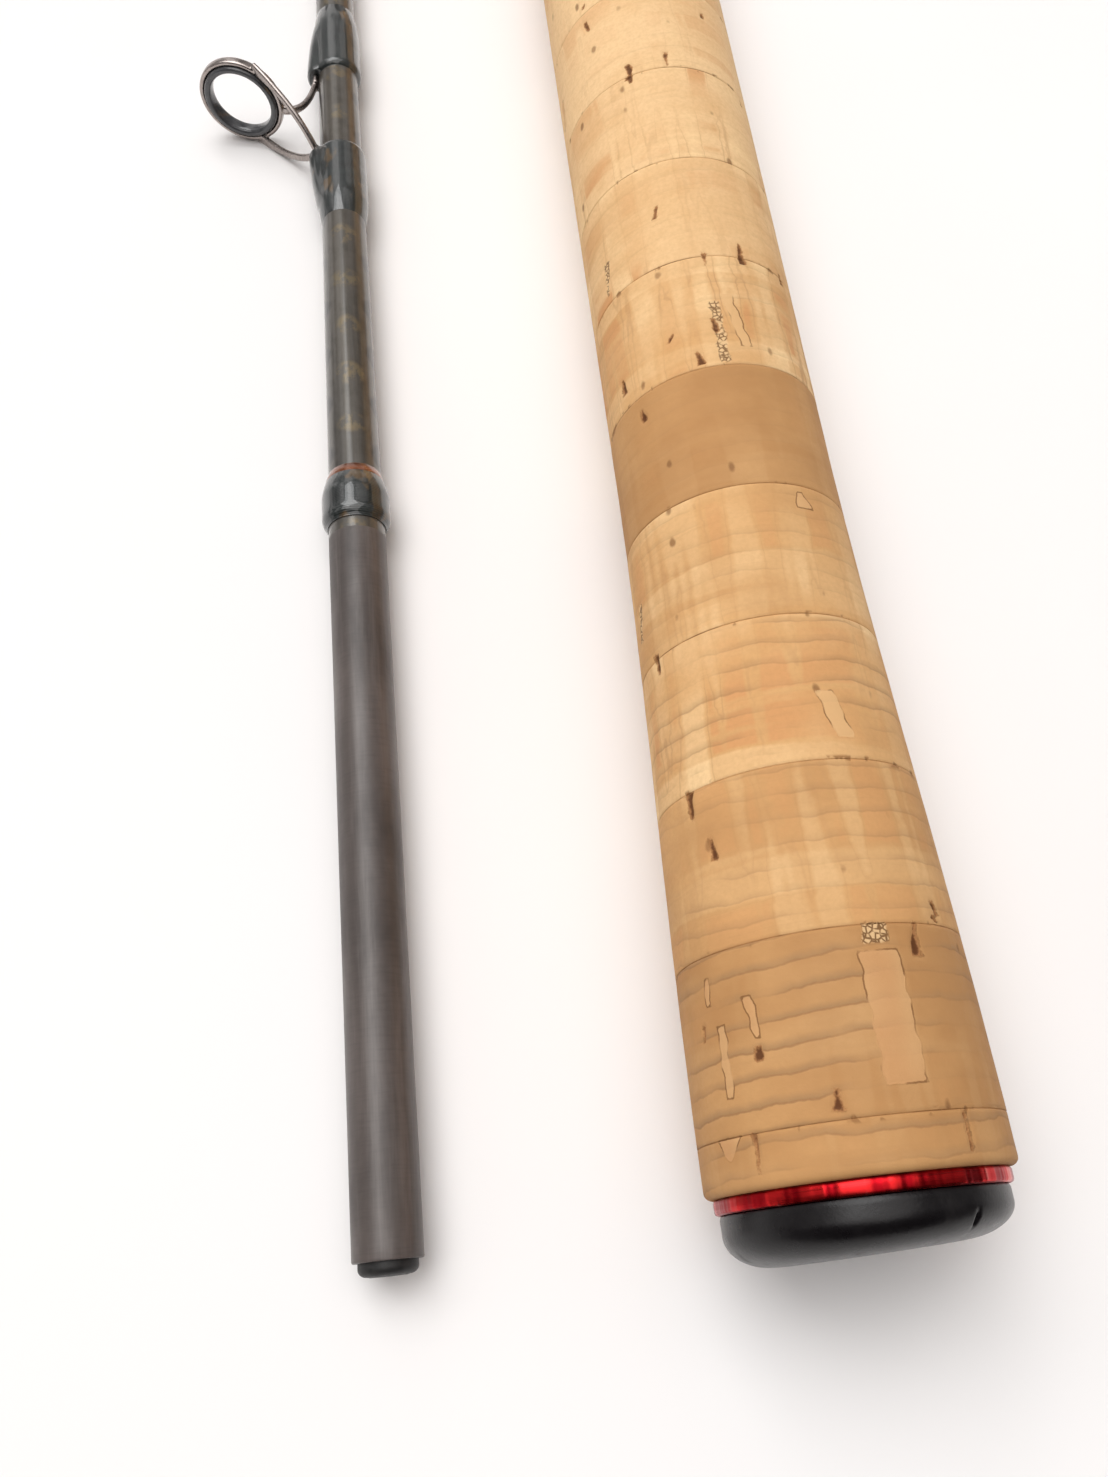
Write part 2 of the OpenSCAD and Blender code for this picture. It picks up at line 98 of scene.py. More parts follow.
def bore_of(node, axis=(0, 0)):
    """The smallest radius of a ring-shaped CAD node."""
    return float(polar(node, axis)[1].min())


def joined_outline(nodes, axis):
    """One outline from several nodes that follow each other."""
    parts = [outline(n, axis) for n in nodes]
    y = np.concatenate([p[0] for p in parts])
    r = np.concatenate([p[1] for p in parts])
    order = np.argsort(y, kind="stable")
    y, r = y[order], r[order]
    keep = np.concatenate([[True], np.diff(y) > 1e-5])
    return y[keep], r[keep]


GRIP_RINGS = sorted(n for n in frame["nodes"] if n.startswith("grip_ring_"))
FORE_RINGS = sorted(n for n in frame["nodes"] if n.startswith("foregrip_ring_"))
GUIDES = range(1, 8)
BUTT_GUIDES = (1, 2)
SEEN_GUIDE = 3
BUTT_LINE = tuple(values[[0, -1]] for values in outline("butt_blank", BUTT_AXIS, 0))
TIP_LINE = narrowing("tip_blank", TIP_AXIS)
FLOOR_Z = min(box(n)[0][2] for n in GRIP_RINGS)
MOUNTS = {m["name"]: m for m in frame["record"]["mounts"]}

# ---------------------------------------------------------------- meshes


def mesh_object(name, points, faces, materials, sharp=40):
    mesh = bpy.data.meshes.new(name)
    mesh.from_pydata([tuple(p) for p in points], [], faces)
    mesh.update()
    mesh.shade_smooth()
    mesh.set_sharp_from_angle(angle=math.radians(sharp))
    for m in materials:
        mesh.materials.append(m)
    piece = bpy.data.objects.new(name, mesh)
    bpy.context.scene.collection.objects.link(piece)
    return piece


def add_values(piece, name, values):
    """Stores one number for each vertex, for the materials to read."""
    layer = piece.data.attributes.new(name, "FLOAT", "POINT")
    layer.data.foreach_set("value", np.asarray(values, dtype=np.float32).ravel())


def turned_shell(line, axis, around=96, ring=False, shape=None, lean=None):
    """A turned skin: its points, its faces and the row of each face. line is (radius, place) pairs.

    ring joins the last pair to the first. shape(angle, place, radius) gives the radius at each vertex,
    and lean(x, place) gives how far a vertex moves along Y."""
    line = np.array(line, dtype=float)
    rows = len(line)
    angle = around_circle(around)
    radius = np.repeat(line[:, :1], around, axis=1)
    place = np.repeat(line[:, 1:], around, axis=1)
    turn = np.repeat(angle[None, :], rows, axis=0)
    if shape is not None:
        radius = shape(turn, place, radius)
    points, index = [], np.zeros((rows, around), dtype=int)
    for i in range(rows):
        if line[i, 0] < 1e-7:
            index[i, :] = len(points)
            points.append((axis[0], line[i, 1], axis[1]))
            continue
        index[i, :] = len(points) + np.arange(around)
        x = axis[0] + radius[i] * np.sin(turn[i])
        z = axis[1] + radius[i] * np.cos(turn[i])
        y = place[i] if lean is None else place[i] + lean(x - axis[0], place[i])
        points += list(zip(x, y, z))
    faces, strips = [], []
    for i in range(rows if ring else rows - 1):
        j = (i + 1) % rows
        for k in range(around):
            n = (k + 1) % around
            corners = []
            for v in (index[i, k], index[j, k], index[j, n], index[i, n]):
                if int(v) not in corners:
                    corners.append(int(v))
            if len(corners) > 2:
                faces.append(corners)
                strips.append(i)
    return points, faces, strips


def turned(name, line, axis, materials, sharp=40, paint=None, **shell):
    """A turned piece. paint(row) gives the material of a row of faces."""
    points, faces, strips = turned_shell(line, axis, **shell)
    piece = mesh_object(name, points, faces, materials, sharp)
    if paint:
        piece.data.polygons.foreach_set("material_index", [paint(i) for i in strips])
    return piece


def joined(shells):
    """Several shells as one list of points and one of faces."""
    points, faces = [], []
    for shell in shells:
        base = len(points)
        points += [tuple(p) for p in shell[0]]
        faces += [[base + v for v in f] for f in shell[1]]
    return points, faces


def smooth_rows(stations, radii, count):
    """A turned outline resampled at even steps along Y."""
    y = np.linspace(stations[0], stations[-1], count)
    return list(zip(np.interp(y, stations, radii), y))


def welded(name, shells, cell, materials, smooth=4):
    """Several closed shells fused into one skin, with small fillets where they meet."""
    rough = mesh_object(name + "_rough", *joined(shells), [])
    weld = rough.modifiers.new("weld", "REMESH")
    weld.mode = "VOXEL"
    weld.voxel_size = cell
    soft = rough.modifiers.new("soft", "SMOOTH")
    soft.factor = 0.5
    soft.iterations = smooth
    done = rough.evaluated_get(bpy.context.evaluated_depsgraph_get())
    mesh = bpy.data.meshes.new_from_object(done)
    mesh.name = name
    mesh.materials.clear()
    for m in materials:
        mesh.materials.append(m)
    mesh.shade_smooth()
    bpy.data.objects.remove(rough)
    piece = bpy.data.objects.new(name, mesh)
    bpy.context.scene.collection.objects.link(piece)
    return piece


def squared(angle, power_c, power_s):
    """Cosine and sine, pushed outwards so that a round section turns a little square."""
    c, s = math.cos(angle), math.sin(angle)
    return math.copysign(abs(c) ** power_c, c), math.copysign(abs(s) ** power_s, s)


def around_circle(count):
    return np.linspace(0, 2 * math.pi, count, endpoint=False)


def swept(path, sizes, up, around=14):
    """A closed strip along a path. sizes are (half width, half thickness); up is its flat normal."""
    path = np.array(path, dtype=float)
    ways = np.gradient(path, axis=0)
    points, faces = [], []
    for p, way, (w, t) in zip(path, ways, sizes):
        way = way / np.linalg.norm(way)
        across = np.cross(way, up)
        across = across / np.linalg.norm(across)
        flat = np.cross(across, way)
        for k in range(around):
            c, s = squared(2 * math.pi * k / around, 0.7, 0.7)
            points.append(p + across * w * c + flat * t * s)
    rows = len(path)
    for i in range(rows - 1):
        for k in range(around):
            n = (k + 1) % around
            faces.append([i * around + k, i * around + n, (i + 1) * around + n, (i + 1) * around + k])
    faces.append(list(range(around))[::-1])
    faces.append([(rows - 1) * around + k for k in range(around)])
    return points, faces


def hoop(centre, out, side, way, section, around=96):
    """A closed ring with the given section, as (radius, height along the ring's axis) points."""
    points, faces = [], []
    count = len(section)
    for k in range(around):
        a = 2 * math.pi * k / around
        spoke = out * math.cos(a) + side * math.sin(a)
        points += [centre + spoke * r + way * h for r, h in section]
    for k in range(around):
        n = (k + 1) % around
        for i in range(count):
            j = (i + 1) % count
            faces.append([k * count + i, k * count + j, n * count + j, n * count + i])
    return points, faces


# ---------------------------------------------------------------- materials


class Nodes:
    """A node tree, built up in steps from one coordinate."""

    def __init__(self, tree, coordinate):
        self.tree = tree
        self.place = self.node("ShaderNodeTexCoord").outputs[coordinate]

    def node(self, kind, **settings):
        made = self.tree.nodes.new(kind)
        for key, value in settings.items():
            setattr(made, key, value)
        return made

    def put(self, socket, value):
        if isinstance(value, bpy.types.NodeSocket):
            self.tree.links.new(value, socket)
        elif isinstance(value, (int, float)) and socket.type in ("VECTOR", "RGBA"):
            socket.default_value = (value,) * len(socket.default_value)
        elif socket.type == "RGBA" and len(value) == 3:
            socket.default_value = (*value, 1)
        else:
            socket.default_value = value

    def math(self, operation, a, b=0.0, clamp=False):
        made = self.node("ShaderNodeMath", operation=operation, use_clamp=clamp)
        self.put(made.inputs[0], a)
        self.put(made.inputs[1], b)
        return made.outputs[0]

    def times(self, a, b, clamp=False):
        return self.math("MULTIPLY", a, b, clamp)

    def plus(self, a, b):
        return self.math("ADD", a, b)

    def minus(self, a, b):
        return self.math("SUBTRACT", a, b)

    def vector(self, operation, a, b):
        made = self.node("ShaderNodeVectorMath", operation=operation)
        self.put(made.inputs[0], a)
        self.put(made.inputs[1], b)
        return made.outputs[0]

    def scaled(self, scale, place=None):
        return self.vector("MULTIPLY", self.place if place is None else place, scale)

    def noise(self, scale, detail=3.0, rough=0.5, distortion=0.0, place=None, colour=False):
        made = self.node("ShaderNodeTexNoise")
        self.put(made.inputs["Vector"], self.scaled(scale, place))
        made.inputs["Scale"].default_value = 1.0
        made.inputs["Detail"].default_value = detail
        made.inputs["Roughness"].default_value = rough
        made.inputs["Distortion"].default_value = distortion
        return made.outputs["Color" if colour else "Fac"]

    def cells(self, scale, place=None, feature="F1"):
        made = self.node("ShaderNodeTexVoronoi", feature=feature)
        self.put(made.inputs["Vector"], self.scaled(scale, place))
        made.inputs["Scale"].default_value = 1.0
        return made

    def ramp(self, value, *stops):
        made = self.node("ShaderNodeValToRGB")
        while len(made.color_ramp.elements) < len(stops):
            made.color_ramp.elements.new(0.5)
        for element, (at, colour) in zip(made.color_ramp.elements, stops):
            element.position = at
            element.color = (colour,) * 3 + (1,) if isinstance(colour, (int, float)) else (*colour, 1)
        self.put(made.inputs[0], value)
        return made.outputs[0]

    def between(self, value, low, high, a=0.0, b=1.0):
        """Maps low..high to a..b, held at both ends."""
        made = self.node("ShaderNodeMapRange", clamp=True, interpolation_type="SMOOTHSTEP")
        for socket, item in zip(made.inputs, (value, low, high, a, b)):
            self.put(socket, item)
        return made.outputs[0]

    def mix(self, share, a, b):
        made = self.node("ShaderNodeMix", data_type="RGBA")
        self.put(made.inputs[0], share)
        self.put(made.inputs[6], a)
        self.put(made.inputs[7], b)
        return made.outputs[2]

    def value(self, name):
        return self.node("ShaderNodeAttribute", attribute_name=name).outputs["Fac"]

    def split(self, vector):
        made = self.node("ShaderNodeSeparateXYZ")
        self.put(made.inputs[0], vector)
        return made.outputs

    def bump(self, height, strength, distance, below=None):
        made = self.node("ShaderNodeBump")
        made.inputs["Strength"].default_value = strength
        made.inputs["Distance"].default_value = distance
        self.put(made.inputs["Height"], height)
        if below is not None:
            self.put(made.inputs["Normal"], below)
        return made.outputs[0]


class Paint(Nodes):
    """A material. Its coordinates are the object's own, in metres."""

    def __init__(self, name, **shader):
        self.material = bpy.data.materials.new(name)
        self.material.use_nodes = True
        super().__init__(self.material.node_tree, "Object")
        self.shader = self.tree.nodes["Principled BSDF"]
        for key, value in shader.items():
            self.shader.inputs[key.replace("_", " ").title().replace("Ior", "IOR")].default_value = value

    def finish(self, colour=None, rough=None, normal=None, metal=None):
        wanted = {"Base Color": colour, "Roughness": rough, "Normal": normal, "Metallic": metal}
        for key, item in wanted.items():
            if item is not None:
                self.put(self.shader.inputs[key], item)
        return self.material


def growth_lines(p, place, wavy):
    """Yearly rings of the bark: they run round the grip, sharp on one side and fading on the other."""
    sway = p.times(p.noise((30, 24, 30), 2, 0.5, place=place), 2.2)
    ripple = p.times(p.noise((260, 160, 260), 2, 0.5, place=place), 0.42)
    years = p.plus(p.times(p.split(wavy)[1], 1 / (1.85 * MM)), p.plus(sway, ripple))
    age = p.math("FRACT", years)
    soft = p.times(p.between(age, 0.0, 0.10), p.between(age, 0.08, 0.46, 1.0, 0.0))
    sharp = p.times(p.between(age, 0.01, 0.06), p.between(age, 0.07, 0.15, 1.0, 0.0))
    patchy = p.between(p.noise((90, 170, 90), 3, 0.6, place=place), 0.38, 0.62, 0.08, 1.0)
    return p.times(soft, patchy), p.times(sharp, patchy)


def cork_material():
    p = Paint("cork", specular_ior_level=0.22)
    ring, tone, figured, lined = (p.value(name) for name in ("ring", "tone", "figure", "lines"))
    shift = p.node("ShaderNodeCombineXYZ")
    for socket, step in zip(shift.inputs, (0.731, 0.317, 0.553)):
        p.put(socket, p.times(ring, step))
    place = p.vector("ADD", p.place, shift.outputs[0])
    wander = p.vector("SUBTRACT", p.noise(420, 3, 0.6, place=place, colour=True), (0.5, 0.5, 0.5))
    wavy = p.vector("ADD", place, p.vector("MULTIPLY", wander, (0.0006, 0.0006, 0.0006)))

    blotch = p.noise((95, 130, 95), 4, 0.6, place=place)
    cloud = p.plus(p.times(p.minus(blotch, 0.5), 0.85), tone)
    colour = p.ramp(cloud, (0.0, (0.865, 0.59, 0.315)), (0.5, (0.68, 0.385, 0.16)), (1.0, (0.47, 0.24, 0.09)))

    # the bark's figure: pale streaks along the grip crossed by pale bands, and warm blocks between them
    streaks = p.noise((330, 22, 330), 2, 0.5, 0.0, place=wavy)
    bands = p.noise((22, 300, 22), 2, 0.5, 0.0, place=wavy)
    pale = p.plus(p.times(p.between(streaks, 0.50, 0.57), 0.55),
                  p.times(p.between(bands, 0.50, 0.56), 0.45))
    warm = p.times(p.between(streaks, 0.44, 0.49, 1.0, 0.0), p.between(bands, 0.44, 0.50, 1.0, 0.0))
    local = p.times(figured, p.between(p.noise((70, 110, 70), 2, 0.5, place=place), 0.40, 0.60, 0.25, 1.0))
    colour = p.mix(p.times(pale, p.times(local, 0.85), True), colour, (0.92, 0.65, 0.345))
    colour = p.mix(p.times(warm, p.times(local, 0.70), True), colour, (0.66, 0.315, 0.125))
    edge = p.between(p.math("ABSOLUTE", p.minus(streaks, 0.50)), 0.002, 0.012, 1.0, 0.0)
    colour = p.mix(p.times(edge, p.times(local, 0.36)), colour, (0.50, 0.27, 0.12))

    soft, sharp = growth_lines(p, place, wavy)
    colour = p.mix(p.times(soft, p.times(lined, 0.55)), colour, (0.36, 0.205, 0.095))
    colour = p.mix(p.times(sharp, p.times(lined, 0.42)), colour, (0.32, 0.155, 0.06))
    fine = p.between(p.noise((50, 1900, 50), 3, 0.6, place=wavy), 0.55, 0.75)
    colour = p.mix(p.times(fine, 0.14), colour, (0.45, 0.24, 0.10))

    # grain of single cells, and pores
    grain = p.noise(2600, 3, 0.65, place=place)
    colour = p.mix(p.between(grain, 0.3, 0.75, 0.0, 0.20), colour, (0.50, 0.28, 0.12))
    speck = p.cells((520, 300, 520), wavy)
    dot = p.times(p.between(speck.outputs["Distance"], 0.08, 0.20, 1.0, 0.0),
                 p.between(p.split(speck.outputs["Color"])[2], 0.84, 0.88))
    colour = p.mix(p.times(dot, 0.75), colour, (0.24, 0.11, 0.04))

    # pits, filled holes and crumbled spots: the meshes carry the distance to each edge, in millimetres
    ragged = p.times(p.minus(p.noise(1700, 3, 0.65, place=place), 0.5), 0.50)
    pit = p.plus(p.value("pit"), ragged)
    fill = p.plus(p.value("fill"), p.times(ragged, 0.35))
    spot = p.plus(p.value("spot"), p.times(ragged, 0.9))
    in_pit = p.between(pit, -0.05, 0.08, 1.0, 0.0)
    deep = p.between(pit, -0.22, 0.02, 1.0, 0.0)
    in_fill = p.between(fill, -0.05, 0.03, 1.0, 0.0)
    rim = p.between(p.math("ABSOLUTE", fill), 0.01, 0.10, 1.0, 0.0)
    broken = p.between(p.noise((520, 260, 520), 2, 0.5, place=place), 0.46, 0.56)
    grown = p.noise((190, 60, 190), 2, 0.5)
    patch = p.mix(p.between(grown, 0.42, 0.58), (0.64, 0.34, 0.15), (0.74, 0.46, 0.22))
    patch = p.mix(p.between(tone, 0.5, 0.9, 0.0, 0.5), patch, (0.56, 0.30, 0.13))
    colour = p.mix(p.times(in_fill, 0.75), colour, patch)
    colour = p.mix(p.times(rim, p.times(broken, 0.85)), colour, (0.20, 0.09, 0.03))
    crumb = p.cells(2500, place, feature="DISTANCE_TO_EDGE").outputs["Distance"]
    crack = p.times(p.between(crumb, 0.05, 0.22, 1.0, 0.0), p.between(p.noise(1000, 2, 0.5), 0.34, 0.46))
    in_spot = p.between(spot, -0.14, 0.06, 1.0, 0.0)
    colour = p.mix(p.times(in_spot, 0.82), colour, p.mix(crack, (0.78, 0.53, 0.28), (0.16, 0.08, 0.032)))
    colour = p.mix(p.times(in_pit, 0.95), colour, p.mix(deep, (0.44, 0.21, 0.08), (0.11, 0.035, 0.010)))

    # glue line between two rings, with crumbs broken out beside it
    seam = p.between(p.value("end"), 0.01, 0.09, 1.0, 0.0)
    seam = p.times(seam, p.between(p.noise((240, 40, 240), 3, 0.6), 0.46, 0.64, 0.10, 0.75))
    chips = p.times(p.between(p.value("end"), 0.12, 0.42, 1.0, 0.0),
                   p.between(p.noise((760, 520, 760), 2, 0.5), 0.63, 0.69))
    colour = p.mix(p.math("MAXIMUM", seam, p.times(chips, 0.8)), colour, (0.30, 0.14, 0.05))

    hollow = p.plus(p.times(in_pit, 1.2), p.times(p.math("MAXIMUM", dot, chips), 0.6))
    hollow = p.plus(hollow, p.times(rim, 0.3))
    hollow = p.plus(hollow, p.times(p.times(in_spot, crack), 0.7))
    height = p.minus(p.times(grain, 0.5), hollow)
    height = p.minus(height, p.times(p.times(soft, lined), 0.25))
    normal = p.bump(height, 0.50, 0.00012)
    rough = p.between(grain, 0.2, 0.8, 0.66, 0.88)
    return p.finish(colour, rough, normal)


def rubber_material():
    p = Paint("butt_cap_rubber", specular_ior_level=0.32)
    dust = p.noise(900, 4, 0.7)
    scuff = p.between(p.noise((300, 90, 300), 4, 0.7, 0.6), 0.55, 0.75)
    colour = p.mix(p.between(dust, 0.5, 0.85, 0.0, 0.5), (0.0045, 0.0035, 0.0042), (0.014, 0.012, 0.0125))
    colour = p.mix(p.times(scuff, 0.25), colour, (0.040, 0.036, 0.035))
    rough = p.plus(p.between(dust, 0.2, 0.8, 0.25, 0.35), p.times(scuff, 0.14))
    return p.finish(colour, rough, p.bump(p.noise(4200, 3, 0.6), 0.22, 0.00005))


def anodised_material(name, colour, dark, wear_and_painted_highlight):
    """Dyed aluminium, turned. Round the ring run bands of painted reflection, dark and light, some with a
    painted highlight, over small facets bumped from the same bands.
    """
    p = Paint(name, metallic=1.0)
    turn = p.noise((60, 5200, 60), 3, 0.6)
    bars = p.noise((640, 10, 640), 2, 0.55)
    # painted reflection: dark and light bands round the ring, then a painted highlight in some of the light
    # ones
    dye_and_painted_reflection = p.mix(p.between(bars, 0.44, 0.55), dark, colour)
    dye_and_painted_reflection = p.mix(p.between(bars, 0.60, 0.66, 0.0, 0.6), dye_and_painted_reflection, wear_and_painted_highlight)
    rough = p.between(turn, 0.25, 0.75, 0.24, 0.38)
    facets = p.bump(bars, 0.35, 0.0006)
    return p.finish(dye_and_painted_reflection, rough, p.bump(turn, 0.10, 0.00003, facets))


def ground_tube(p):
    """The bare ferrule: ground carbon with cloudy marks from the fit."""
    cloud = p.noise((210, 85, 210), 4, 0.62, 0.4)
    fine = p.noise((420, 3800, 420), 3, 0.6)
    rub = p.between(p.noise((700, 45, 700), 4, 0.7), 0.45, 0.75)
    colour = p.ramp(cloud, (0.3, (0.052, 0.041, 0.037)), (0.55, (0.088, 0.071, 0.064)),
                    (0.8, (0.13, 0.106, 0.097)))
    colour = p.mix(p.between(fine, 0.4, 0.8, 0.0, 0.30), colour, (0.040, 0.033, 0.031))
    colour = p.mix(p.times(rub, 0.30), colour, (0.21, 0.185, 0.172))
    return colour, p.between(cloud, 0.3, 0.7, 0.46, 0.34), fine


def ferrule_material():
    p = Paint("ferrule_ground", specular_ior_level=0.55)
    colour, rough, fine = ground_tube(p)
    return p.finish(colour, rough, p.bump(fine, 0.25, 0.00003))


def crossing_spirals(p, axis, pitch):
    """Two spirals along a blank, high where they cross on top and low where they cross at the sides."""
    x, y, z = p.split(p.vector("SUBTRACT", p.place, (axis[0], 0, axis[1])))
    turn = p.math("ARCTAN2", x, z)
    along = p.times(y, math.pi / pitch)
    one = p.math("SINE", p.plus(along, turn))
    other = p.math("SINE", p.minus(along, turn))
    return p.times(one, other)


def blank_material(name, axis):
    """Varnished carbon with tape marks that cross round it: painted shade where they cross at the sides and a
    painted gold highlight where they cross on top.
    """
    p = Paint(name, coat_weight=0.8, coat_roughness=0.15, coat_ior=1.5)
    wander = p.times(p.minus(p.noise((200, 60, 200), 2, 0.5), 0.5), 0.9)
    cross = p.plus(crossing_spirals(p, axis, 6.5 * MM), wander)
    long = p.noise((620, 30, 620), 4, 0.65, 0.3)
    mottle = p.noise((700, 500, 700), 4, 0.65)
    colour = p.ramp(long, (0.3, (0.055, 0.049, 0.041)), (0.7, (0.115, 0.102, 0.084)))
    # painted shade: darker where the tape marks cross at the sides of the blank
    colour = p.mix(p.between(cross, -0.70, -0.35, 0.8, 0.0), colour, (0.018, 0.016, 0.016))
    # painted highlight: gold where the tape marks cross on top of the blank
    painted_gold_highlight = p.times(p.between(cross, 0.50, 0.85), p.between(mottle, 0.42, 0.62))
    colour = p.mix(p.times(painted_gold_highlight, 0.7), colour, (0.22, 0.165, 0.085))
    colour = p.mix(p.between(mottle, 0.5, 0.8, 0.0, 0.35), colour, (0.045, 0.042, 0.036))
    rough = p.between(long, 0.3, 0.7, 0.48, 0.34)
    height = p.plus(p.times(cross, 0.5), p.times(mottle, 0.3))
    return p.finish(colour, rough, p.bump(height, 0.10, 0.00006), p.between(mottle, 0.3, 0.7, 0.25, 0.55))


def whipping_material():
    """Dark thread wound round the blank, under a thick clear coat."""
    p = Paint("whipping", coat_weight=1.0, coat_roughness=0.03, coat_ior=1.55)
    turn = p.node("ShaderNodeTexWave", wave_type="BANDS", bands_direction="Y", wave_profile="SIN")
    p.put(turn.inputs["Vector"], p.place)
    turn.inputs["Scale"].default_value = 2 * math.pi / (20 * 0.00019)
    turn.inputs["Distortion"].default_value = 0.4
    shade = p.noise((260, 900, 260), 3, 0.6)
    amber = p.between(p.noise((520, 300, 520), 2, 0.5), 0.60, 0.70)
    colour = p.ramp(shade, (0.3, (0.006, 0.009, 0.009)), (0.7, (0.020, 0.027, 0.026)))
    colour = p.mix(p.times(amber, 0.5), colour, (0.16, 0.085, 0.018))
    normal = p.bump(turn.outputs["Fac"], 0.35, 0.00004)
    return p.finish(colour, p.between(shade, 0.3, 0.7, 0.30, 0.45), normal)


def trim_material():
    p = Paint("trim_thread", metallic=0.55, coat_weight=1.0, coat_roughness=0.03)
    turn = p.noise((120, 5200, 120), 2, 0.5)
    colour = p.ramp(turn, (0.3, (0.10, 0.030, 0.012)), (0.7, (0.34, 0.105, 0.035)))
    return p.finish(colour, p.between(turn, 0.3, 0.7, 0.35, 0.25), p.bump(turn, 0.3, 0.00003))


def steel_material():
    p = Paint("guide_steel", metallic=1.0)
    scratch = p.noise((900, 900, 260), 4, 0.7, 0.5)
    stain = p.noise(420, 4, 0.6)
    colour = p.ramp(stain, (0.3, (0.30, 0.26, 0.24)), (0.7, (0.46, 0.41, 0.385)))
    return p.finish(colour, p.between(scratch, 0.3, 0.7, 0.22, 0.34), p.bump(scratch, 0.03, 0.00002))


def ceramic_material():
    p = Paint("guide_ceramic", coat_weight=0.4, coat_roughness=0.08)
    fine = p.noise(2600, 3, 0.6)
    tone = p.noise(500, 3, 0.6)
    colour = p.ramp(tone, (0.3, (0.040, 0.041, 0.045)), (0.7, (0.085, 0.087, 0.092)))
    return p.finish(colour, p.between(fine, 0.3, 0.7, 0.16, 0.28), p.bump(fine, 0.05, 0.00003))


def plug_material():
    p = Paint("plug", specular_ior_level=0.4)
    fine = p.noise(1900, 4, 0.7)
    colour = p.ramp(fine, (0.35, (0.008, 0.008, 0.008)), (0.75, (0.030, 0.028, 0.027)))
    return p.finish(colour, p.between(fine, 0.3, 0.7, 0.45, 0.65), p.bump(fine, 0.4, 0.00008))


def seat_material():
    p = Paint("seat_plastic", specular_ior_level=0.5)
    fine = p.noise(2400, 3, 0.6)
    rub = p.between(p.noise((500, 60, 500), 4, 0.7), 0.52, 0.74)
    colour = p.mix(p.times(rub, 0.5), (0.014, 0.014, 0.0145), (0.045, 0.044, 0.043))
    return p.finish(colour, p.between(fine, 0.3, 0.7, 0.26, 0.40), p.bump(fine, 0.10, 0.00003))


def hood_material():
    p = Paint("hood_metal", metallic=1.0)
    turn = p.noise((90, 3800, 90), 3, 0.6)
    wear = p.noise(500, 4, 0.6)
    colour = p.ramp(wear, (0.3, (0.085, 0.085, 0.090)), (0.7, (0.17, 0.17, 0.175)))
    return p.finish(colour, p.between(turn, 0.25, 0.75, 0.22, 0.36), p.bump(turn, 0.12, 0.00003))


def arbor_material():
    p = Paint("arbor", specular_ior_level=0.3)
    fibre = p.noise((300, 2400, 300), 4, 0.6)
    colour = p.ramp(fibre, (0.3, (0.42, 0.30, 0.18)), (0.7, (0.62, 0.48, 0.31)))
    return p.finish(colour, p.between(fibre, 0.3, 0.7, 0.75, 0.9), p.bump(fibre, 0.3, 0.0001))


CORK = cork_material()
RUBBER = rubber_material()
# the dye colour, then the colours of the painted dark reflection bands and of the painted highlight
RED = anodised_material("trim_red", (0.54, 0.016, 0.018), (0.28, 0.004, 0.008), (0.74, 0.20, 0.18))
GROUND = ferrule_material()
VARNISH = blank_material("blank_varnish", TIP_AXIS)
BUTT_VARNISH = blank_material("butt_blank_varnish", BUTT_AXIS)
WHIPPING = whipping_material()
TRIM = trim_material()
STEEL = steel_material()
CERAMIC = ceramic_material()
PLUG = plug_material()
SEAT = seat_material()
HOOD = hood_material()
ARBOR = arbor_material()

BODY_OF = {n: b for b, members in frame["record"]["behaviour"]["bodies"].items() for n in members}


def stands_for(piece, node):
    """A finished piece takes its CAD node's place and body, and the node is hidden."""
    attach(piece, BODY_OF[node])
    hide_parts(node)


def repaint(node, material):
    """A CAD node that stays gets its finished material."""
    slots = frame["nodes"][node].data.materials
    slots.clear()
    slots.append(material)


# ---------------------------------------------------------------- cork grip

# The few marks that show most. In each: its kind, its ring (0 is at the butt), its place along that ring
# from 0 to 1, its angle in degrees, then in mm its length, its width and how far it turns over its
# length, and its taper (1 narrows to a point towards the butt, -1 towards the seat)
MAIN_MARKS = [
    ("fill", 1, 0.5, 10, 9.0, 3.0, 0.0, 0.0),
    ("spot", 1, 0.95, 10, 1.5, 2.0, 0.0, 0.0),
    ("fill", 1, 0.4, -55, 5.0, 0.8, 0.0, 0.0),
    ("fill", 1, 0.8, -60, 2.0, 0.6, 0.0, 0.0),
    ("fill", 1, 0.6, -40, 3.0, 0.7, -0.5, 0.3),
    ("pit", 1, 0.4, -40, 1.0, 0.7, 0.0, 0.0),
    ("pit", 1, 0.1, -15, 1.5, 0.6, 0.0, -0.5),
    ("pit", 0, 0.6, 30, 2.5, 0.3, 0.0, 0.0),
    ("fill", 0, 0.8, -60, 1.5, 1.5, 0.0, 0.8),
    ("fill", 3, 0.3, 15, 4.0, 1.5, -1.0, 0.0),
    ("fill", 6, 0.4, 10, 6.0, 1.0, -1.0, 0.0),
    ("spot", 6, 0.3, 0, 7.0, 1.0, 0.0, 0.0),
]
KINDS = ("pit", "fill", "spot")
FAR_MM = 1.5
GRIP_START = box(GRIP_RINGS[0])[0][1]
# Rings that start before this place along Y get a finer mesh. The ones in the photograph are among them
FINE_END = 0.16
MARK_COUNT = 230


def main_marks():
    """The main marks, each placed along the grip from its ring's own box."""
    marks = []
    for kind, ring, share, angle, *size in MAIN_MARKS:
        low, high = box(GRIP_RINGS[ring])
        marks.append((kind, angle, (low[1] + share * (high[1] - low[1]) - GRIP_START) / MM, *size))
    return marks


